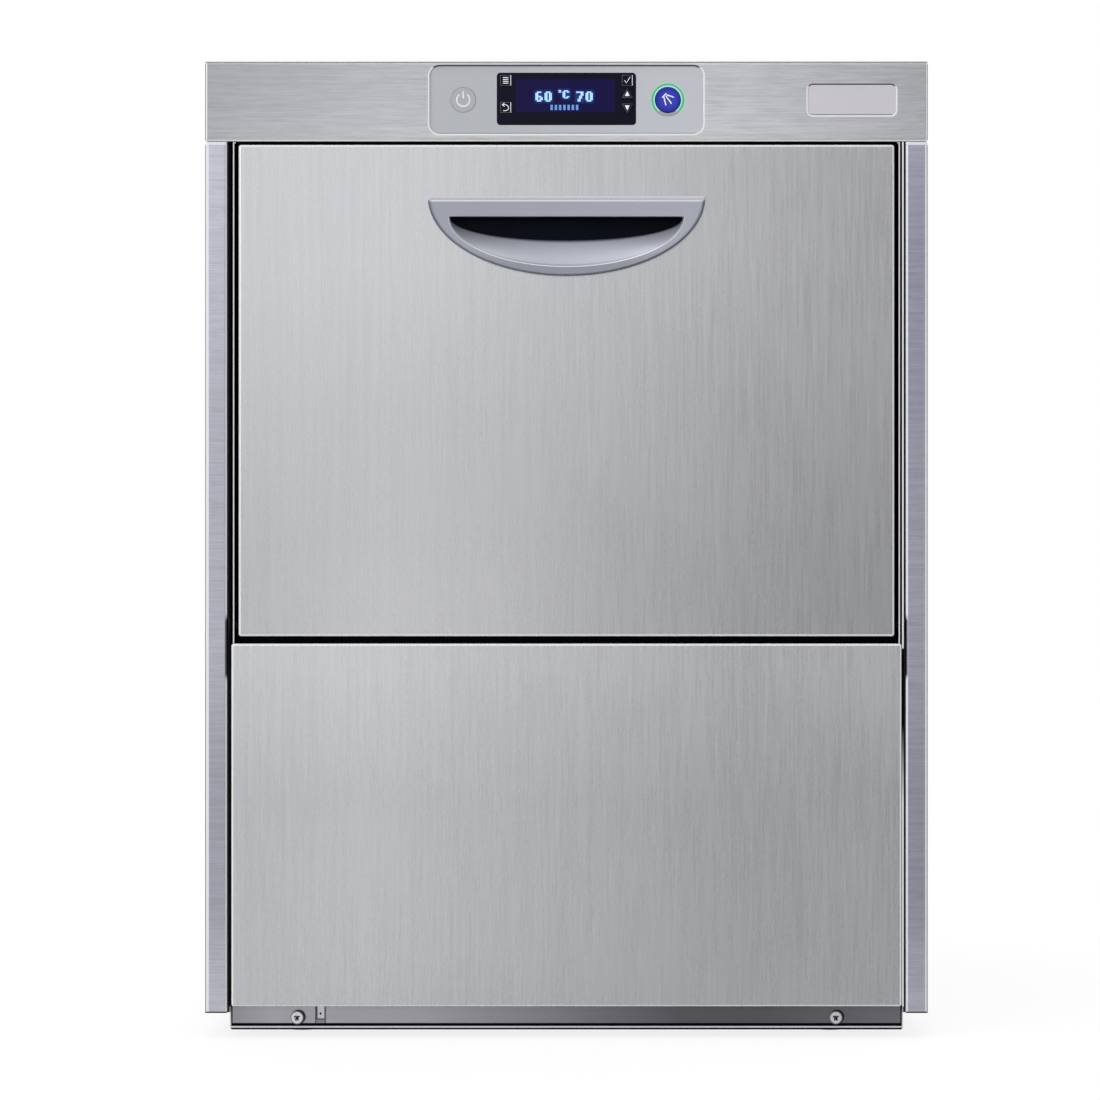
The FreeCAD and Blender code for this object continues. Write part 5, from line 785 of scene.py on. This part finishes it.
silver_and_painted_light = grip.blend(crest, silver_and_painted_light, rgb(250, 250, 252))
silver_and_painted_light = grip.blend(outer_rim * 0.8, silver_and_painted_light, rgb(66, 68, 82))
grip.surface(Base_Color=grip.blend(mouth_shade, silver_and_painted_light, rgb(22, 26, 34)), Metallic=0.35 + mouth_shade * 0.65)
dress(grip, "door_handle")
chamber_finish = mill_steel("chamber_finish", rgb(206, 207, 209), 0.32)
dress(chamber_finish, "door_inner_panel")
# Outside the frame the hinge arms and bushes are painted near black as shade.
SHADED_FROM = 0.2620
for hinge_parts, base in (
        (("left_hinge_arm", "right_hinge_arm"), mill_steel("hinge_arm_finish", rgb(204, 204, 208), 0.34)),
        (("hinge_bushes",), moulded("bush_finish", rgb(226, 226, 221), 0.4))):
    hinge_shade = abs(base.axis("X")).step(SHADED_FROM - 0.0002, SHADED_FROM + 0.0002)
    base.surface(Base_Color=base.blend(hinge_shade, base.colour, SHADE_BLACK))
    dress(base, *hinge_parts)

# How far the coils stop short of the spring's ends, and the coils' middle lies in from its outer side.
SPRING_END, SPRING_SIDE = 0.013, 0.006
spring_low, spring_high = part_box("door_springs")
coil_z = (spring_low.z + SPRING_END, spring_high.z - SPRING_END)
spring_finish = Finish("spring_finish")
scale_marks = spring_finish.noise((500, 500, 500), 2.0)
spring_finish.surface(Base_Color=spring_finish.tinted(rgb(150, 150, 154), 1 + (scale_marks - 0.5) * 0.2),
                      Metallic=1.0, Roughness=0.36 + (scale_marks - 0.5) * 0.2)
spring_x = spring_high.x - SPRING_SIDE
spring_y = (spring_low.y + spring_high.y) / 2
coils = Pattern("door_spring_coils", turns=72.0, radius=0.0050, wire=0.0009, height=coil_z[1] - coil_z[0])
spiral = coils.node("GeometryNodeCurveSpiral", {}, {
    "Resolution": 14, "Rotations": coils.turns, "Start Radius": coils.radius, "End Radius": coils.radius,
    "Height": coils.height})
section, ring_line = (
    coils.node("GeometryNodeCurvePrimitiveCircle", {"mode": "RADIUS"}, {"Resolution": sides, "Radius": reach})
    for sides, reach in ((6, coils.wire), (20, coils.radius - coils.wire / 2)))
helix = coils.node("GeometryNodeCurveToMesh", {},
                   {"Curve": spiral, "Profile Curve": section, "Fill Caps": True})
eye = coils.node("GeometryNodeCurveToMesh", {}, {"Curve": ring_line, "Profile Curve": section})
upright_eyes = [coils.moved(eye, coils.vector(0.0, 0.0, z), (0.0, math.pi / 2, 0.0))
                for z in (0 - coils.radius, coils.height + coils.radius)]
spring = coils.joined(helix, *upright_eyes)
pair = [coils.moved(spring, (x, spring_y, coil_z[0])) for x in (-spring_x, spring_x)]
springs = coils.make(coils.joined(*pair), spring_finish)
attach(springs, "cabinet")
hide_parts("door_springs")

# --- front frame and seal ------------------------------------------------------------------------------
# The steel frame welded round the mouth of the chamber, painted near black as shade outside the door's edge,
# with a painted highlight along its lip and a painted glint where each hinge passes. The door closes on a
# black rubber lip, and a dark strip of the rubber, painted shade, fills the gap beside each front column.

POST_INNER = 0.2660
GLINT_X, GLINT_Z, GLINT_HALF, GLINT_SLOPE = 0.2645, 0.3482, 0.0005, 0.6
frame_finish = ground_steel("front_frame_finish", rgb(200, 200, 205), "z", 0.36)
frame_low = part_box("door_frame")[0]
out, rise = abs(frame_finish.axis("X")), frame_finish.axis("Z")
# Painted shade outside the door's edge, a painted highlight on the lip and a painted glint by each hinge.
outside_door = frame_finish.either(
    out.step(door_high.x - 0.0018, door_high.x - 0.0014),
    rise.step(door_high.z - 0.0018, door_high.z - 0.0014),
    1 - rise.step(door_low.z + 0.0014, door_low.z + 0.0018))
lip_edge = 1 - frame_finish.axis("Y").step(frame_low.y + 0.0003, frame_low.y + 0.0006)
above_door = rise.step(door_high.z + 0.0003, door_high.z + 0.0006)
between_posts = 1 - out.step(POST_INNER - 0.0005, POST_INNER)
glint = abs(rise - GLINT_Z - (out - GLINT_X) * GLINT_SLOPE) < GLINT_HALF
glint = glint * (out < POST_INNER) * (out > door_high.x)
frame_finish.highlighted(
    frame_finish.either(lip_edge * (1 - above_door * between_posts), glint * 0.8),
    frame_finish.blend(outside_door, frame_finish.colour, SHADE_BLACK))
dress(frame_finish, "door_frame")
rubber = Finish("seal_rubber_finish")
bloom = rubber.noise((60, 60, 60), 3.0)
rubber.surface(Base_Color=rubber.tinted(rgb(40, 40, 42), 1 + (bloom - 0.5) * 0.3),
               Roughness=0.62 + (bloom - 0.5) * 0.2)
dress(rubber, "door_seal")
# A dark strip in the gap beside each column, painted shade.
SHADE_STRIP_BACK, SHADE_STRIP_GAP, SHADE_STRIP_DEPTH = 0.006, 0.001, 0.004
for side, sign in (("left", -1), ("right", 1)):
    strip_x = sign * (column_low.x + tray_high.x) / 2
    printed(side + "_edge_trim", "cabinet", column_low.y + SHADE_STRIP_BACK, rubber,
            [[(strip_x, column_low.z), (strip_x, fascia_foot - SHADE_STRIP_GAP)]],
            width=column_low.x - tray_high.x, thick=SHADE_STRIP_DEPTH)

# --- wash chamber and tank -----------------------------------------------------------------------------
# Deep satin stainless pressings. Two punched strainer plates lie over the tank, round the sump's woven
# filter basket and its standpipe. The looped heater lies on the tank's floor.

dress(chamber_finish, "wash_chamber", "wash_tank", "tank_strainer")
dress(bright_steel, "tank_heater")
dress(moulded("filter_finish", rgb(122, 128, 136), 0.5), "overflow_standpipe")

# Radians of the weave's wave to the metre.
WEAVE_WAVE = 2400
basket = Finish("filter_basket_finish")
around, along = (thread.math("SINE", thread * WEAVE_WAVE)
                 for thread in (basket.axis("Z"), basket.axis("X") + basket.axis("Y")))
weave = (around * along).step(-0.2, 0.6)
basket.surface(Base_Color=basket.blend(weave, rgb(58, 62, 68), rgb(128, 134, 142)), Roughness=0.5,
               Normal=basket.relief(weave, 0.0001))
dress(basket, "sump_filter")

strainer_low, strainer_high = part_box("tank_strainer")
filter_low, filter_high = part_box("sump_filter")
stem_low, stem_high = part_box("lower_arm_spindle")
holes = Pattern("strainer_holes", columns=62, rows=61, hole=0.0014, margin=0.012,
                left=strainer_low.x, right=strainer_high.x, front=strainer_low.y, back=strainer_high.y,
                top=strainer_high.z, lift=0.00008, filter_x=(filter_low.x + filter_high.x) / 2,
                filter_y=(filter_low.y + filter_high.y) / 2,
                filter_r=(filter_high.x - filter_low.x) / 2 + 0.006,
                stem_y=(stem_low.y + stem_high.y) / 2, stem_r=0.030, seam=0.005)
grid = holes.node("GeometryNodeMeshGrid", {}, {
    "Size X": holes.right - holes.left - holes.margin * 2, "Vertices X": holes.columns,
    "Size Y": holes.back - holes.front - holes.margin * 2, "Vertices Y": holes.rows})
laid = holes.moved(grid, holes.vector((holes.left + holes.right) / 2, (holes.front + holes.back) / 2,
                                      holes.top + holes.lift))
here = holes.node("GeometryNodeInputPosition")
px, py = (holes.node("ShaderNodeSeparateXYZ", {}, {0: here}, label) for label in "XY")


def inside(x, y, reach):
    """Whether a point lies inside a circle."""
    return ((px - x) * (px - x) + (py - y) * (py - y)) < reach * reach


skipped = (inside(holes.filter_x, holes.filter_y, holes.filter_r) + inside(0.0, holes.stem_y, holes.stem_r)
           + (abs(px) < holes.seam)) > 0.5
kept = holes.node("GeometryNodeDeleteGeometry", {"domain": "POINT"}, {"Geometry": laid, "Selection": skipped})
# The holes are dark discs on the plates, painted shade where the dark tank would show through.
disc = holes.node("GeometryNodeMeshCircle", {"fill_type": "TRIANGLE_FAN"},
                  {"Vertices": 8, "Radius": holes.hole})
hole_shade_finish = moulded("strainer_hole_finish", rgb(26, 26, 28), 0.7)
punched = holes.make(holes.at(kept, disc), hole_shade_finish)
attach(punched, "cabinet")

# --- spray arms ----------------------------------------------------------------------------------------
# Two pairs of hollow moulded arms, one pair under the rack and one above it: wash arms in blue and rinse
# arms in pale grey. Each pair turns freely on a moulded stem that also carries the water to it.

dress(moulded("wash_arm_finish", rgb(58, 96, 158), 0.4), "lower_wash_arm", "upper_wash_arm")
pale_plastic = moulded("rinse_arm_finish", rgb(206, 208, 212), 0.42)
dress(pale_plastic, "lower_rinse_arm", "upper_rinse_arm", "lower_arm_spindle", "upper_arm_spindle",
      "detergent_rotor", "rinse_aid_rotor")

# --- glass rack ----------------------------------------------------------------------------------------
# An open basket for glasses, 500 mm square, moulded in one piece: a lattice floor, and walls of posts
# between three bands. It slides on a rail at each side of the chamber.

rack_low, rack_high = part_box("glass_rack")
rack = Pattern("rack_lattice", ribs=19, posts=13, rib=0.0030, depth=0.0050, wall=0.0030, band=0.0140,
               middle=0.0060, rim=0.0110, post=0.0075, half=(rack_high.x - rack_low.x) / 2,
               centre_y=(rack_low.y + rack_high.y) / 2, foot=rack_low.z, height=rack_high.z - rack_low.z)
span = rack.half * 2


def bar(x, y, z):
    return rack.node("GeometryNodeMeshCube", {}, {"Size": rack.vector(x, y, z)})


pitch = (span - rack.rib) / (rack.ribs - 1)
floor_ribs = [
    rack.at(rack.row(rack.ribs, rack.vector(rack.rib / 2 - rack.half, 0.0, rack.depth / 2),
                     rack.vector(pitch, 0.0, 0.0)), bar(rack.rib, span, rack.depth)),
    rack.at(rack.row(rack.ribs, rack.vector(0.0, rack.rib / 2 - rack.half, rack.depth / 2),
                     rack.vector(0.0, pitch, 0.0)), bar(span, rack.rib, rack.depth))]
side_bands = []
for height, level in ((rack.band, rack.band / 2), (rack.middle, rack.height * 0.52),
                      (rack.rim, rack.height - rack.rim / 2)):
    side_bands.append(rack.moved(bar(span, rack.wall, height),
                                 rack.vector(0.0, rack.wall / 2 - rack.half, level)))
tall = rack.height - rack.rim
post_pitch = (span - rack.post) / (rack.posts - 1)
side_bands.append(rack.at(
    rack.row(rack.posts, rack.vector(rack.post / 2 - rack.half, rack.wall / 2 - rack.half, tall / 2),
             rack.vector(post_pitch, 0.0, 0.0)), bar(rack.post, rack.wall * 0.8, tall)))
side = rack.joined(*side_bands)
walls = [rack.moved(side, (0.0, 0.0, 0.0), (0.0, 0.0, quarter * math.pi / 2)) for quarter in range(4)]
standing = rack.moved(rack.joined(*floor_ribs, *walls), rack.vector(0.0, rack.centre_y, rack.foot))
basket_piece = rack.make(standing, moulded("rack_finish", rgb(52, 86, 148), 0.46))
soften = basket_piece.modifiers.new("edges", "BEVEL")
soften.width, soften.segments = 0.0004, 1
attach(basket_piece, "rack")
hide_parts("glass_rack")

# --- pumps, heating and services -----------------------------------------------------------------------
# What lies below and behind the tank: cast pump housings and the steel drum of the boiler, on feet on the
# base tray, with moulded pumps and a valve, and the rubber hoses that join them.

cast = Finish("motor_alloy_finish")
skin = cast.noise((420, 420, 420), 3.0)
cast.surface(Base_Color=cast.tinted(rgb(160, 162, 166), 1 + (skin - 0.5) * 0.18), Metallic=0.8,
             Roughness=0.52 + (skin - 0.5) * 0.2, Normal=cast.relief(skin, 0.00006))
dress(cast, "wash_pump", "rinse_pump")
dress(chamber_finish, "rinse_boiler")
dress(black_plastic, "pump_rotor", "drain_pump", "water_inlet_valve", "cable_gland", "dosing_pumps")
dress(rubber, "spray_pipework")

# --- studio --------------------------------------------------------------------------------------------
# A pale floor and white surroundings, with a soft light at the left, a weaker one at the right and a wide
# one overhead. In front the surroundings darken towards the right, and at the back straight overhead.
# The floor in front mirrors darker towards the right in the steel, as if a black card lay there.

FLOOR_HALF, FLOOR_BACK = 6, 8
floor_mesh = bpy.data.meshes.new("studio_floor")
floor_mesh.from_pydata([(-FLOOR_HALF, -FLOOR_HALF, 0), (FLOOR_HALF, -FLOOR_HALF, 0),
                        (FLOOR_HALF, FLOOR_BACK, 0), (-FLOOR_HALF, FLOOR_BACK, 0)], [], [(0, 1, 2, 3)])
floor_mesh.update()
stage_floor = bpy.data.objects.new("studio_floor", floor_mesh)
bpy.context.scene.collection.objects.link(stage_floor)
floor = Finish("studio_floor_finish")
floor_grain = floor.noise((3, 3, 3), 2.0)
mirrored, seen = (floor.node("ShaderNodeLightPath", {}, {}, ray)
                  for ray in ("Is Glossy Ray", "Is Camera Ray"))
card = mirrored * floor.axis("X").step(-0.25, 0.35) * (1 - floor.axis("Y").step(-0.4, -0.2))
floor_tone = 1 + (floor_grain - 0.5) * 0.01 - card * 0.6
floor.surface(Base_Color=floor.tinted((0.81, 0.81, 0.81), floor_tone), Roughness=0.7)
shine = floor.node("ShaderNodeEmission", {}, {"Color": (1, 1, 1, 1), "Strength": 1.12})
painted = Wire(floor, floor.shader.outputs[0])
mixed = floor.node("ShaderNodeMixShader", {}, {0: seen * 0.75, 1: painted, 2: shine})
floor.tree.links.new(mixed.socket, floor.tree.nodes["Material Output"].inputs["Surface"])
stage_floor.data.materials.append(floor.material)

world = bpy.data.worlds.new("studio")
world.use_nodes = True
bpy.context.scene.world = world
sky = Graph(world.node_tree)
way_out = sky.node("ShaderNodeTexCoord", output="Generated")
way_x, way_y, way_z = (sky.node("ShaderNodeSeparateXYZ", {}, {0: way_out}, label) for label in "XYZ")
in_front = 1 - way_y.step(-0.15, 0.15)
from_left = 1 - way_x.step(-0.08, 0.10)
from_above = way_z.step(0.0, 0.70)
not_overhead = 1 - way_z.step(0.70, 0.90)
level = (1 - in_front) * not_overhead + in_front * (0.20 + from_left * 0.72 + from_above * 0.30)
white = sky.node("ShaderNodeBackground", {}, {"Color": (1, 1, 1, 1), "Strength": 1.0})
soft = sky.node("ShaderNodeBackground", {}, {"Color": (1, 1, 1, 1), "Strength": level})
direct = sky.node("ShaderNodeMixShader", {}, {
    0: sky.node("ShaderNodeLightPath", output="Is Camera Ray"), 1: soft, 2: white})
sky.tree.links.new(direct.socket, world.node_tree.nodes["World Output"].inputs["Surface"])


def soft_light(name, place, target, size, power):
    """A rectangular soft light that faces a point."""
    lamp = bpy.data.lights.new(name, "AREA")
    lamp.shape, lamp.size, lamp.size_y, lamp.energy = "RECTANGLE", size[0], size[1], power
    holder = bpy.data.objects.new(name, lamp)
    holder.location = place
    holder.rotation_euler = (Vector(target) - Vector(place)).to_track_quat("-Z", "Y").to_euler()
    bpy.context.scene.collection.objects.link(holder)


soft_light("key_light", (-2.3, -2.8, 1.6), (0, -0.3, 0.45), (1.4, 2.0), 12)
soft_light("fill_light", (2.6, -1.6, 1.2), (0, 0, 0.4), (1.2, 1.8), 6)
soft_light("overhead_light", (0, 0.2, 2.8), (0, 0, 0.4), (2.4, 2.0), 14)

# The camera looks straight at the front, a little left of the machine's middle and level with it. The
# width that it takes in is measured at the door's face.
VIEW_WIDTH, DISTANCE, SENSOR = 0.8824, 2.8, 36
CAMERA_X, CAMERA_Z = -0.0132, 0.3917
camera = bpy.data.cameras.new("camera")
camera.sensor_width = SENSOR
camera.lens = SENSOR * DISTANCE / VIEW_WIDTH
eye_point = bpy.data.objects.new("camera", camera)
eye_point.location = (CAMERA_X, door_low.y - DISTANCE, CAMERA_Z)
eye_point.rotation_euler = (math.pi / 2, 0, 0)
bpy.context.scene.collection.objects.link(eye_point)
bpy.context.scene.camera = eye_point
bpy.context.scene.view_settings.view_transform = "Standard"
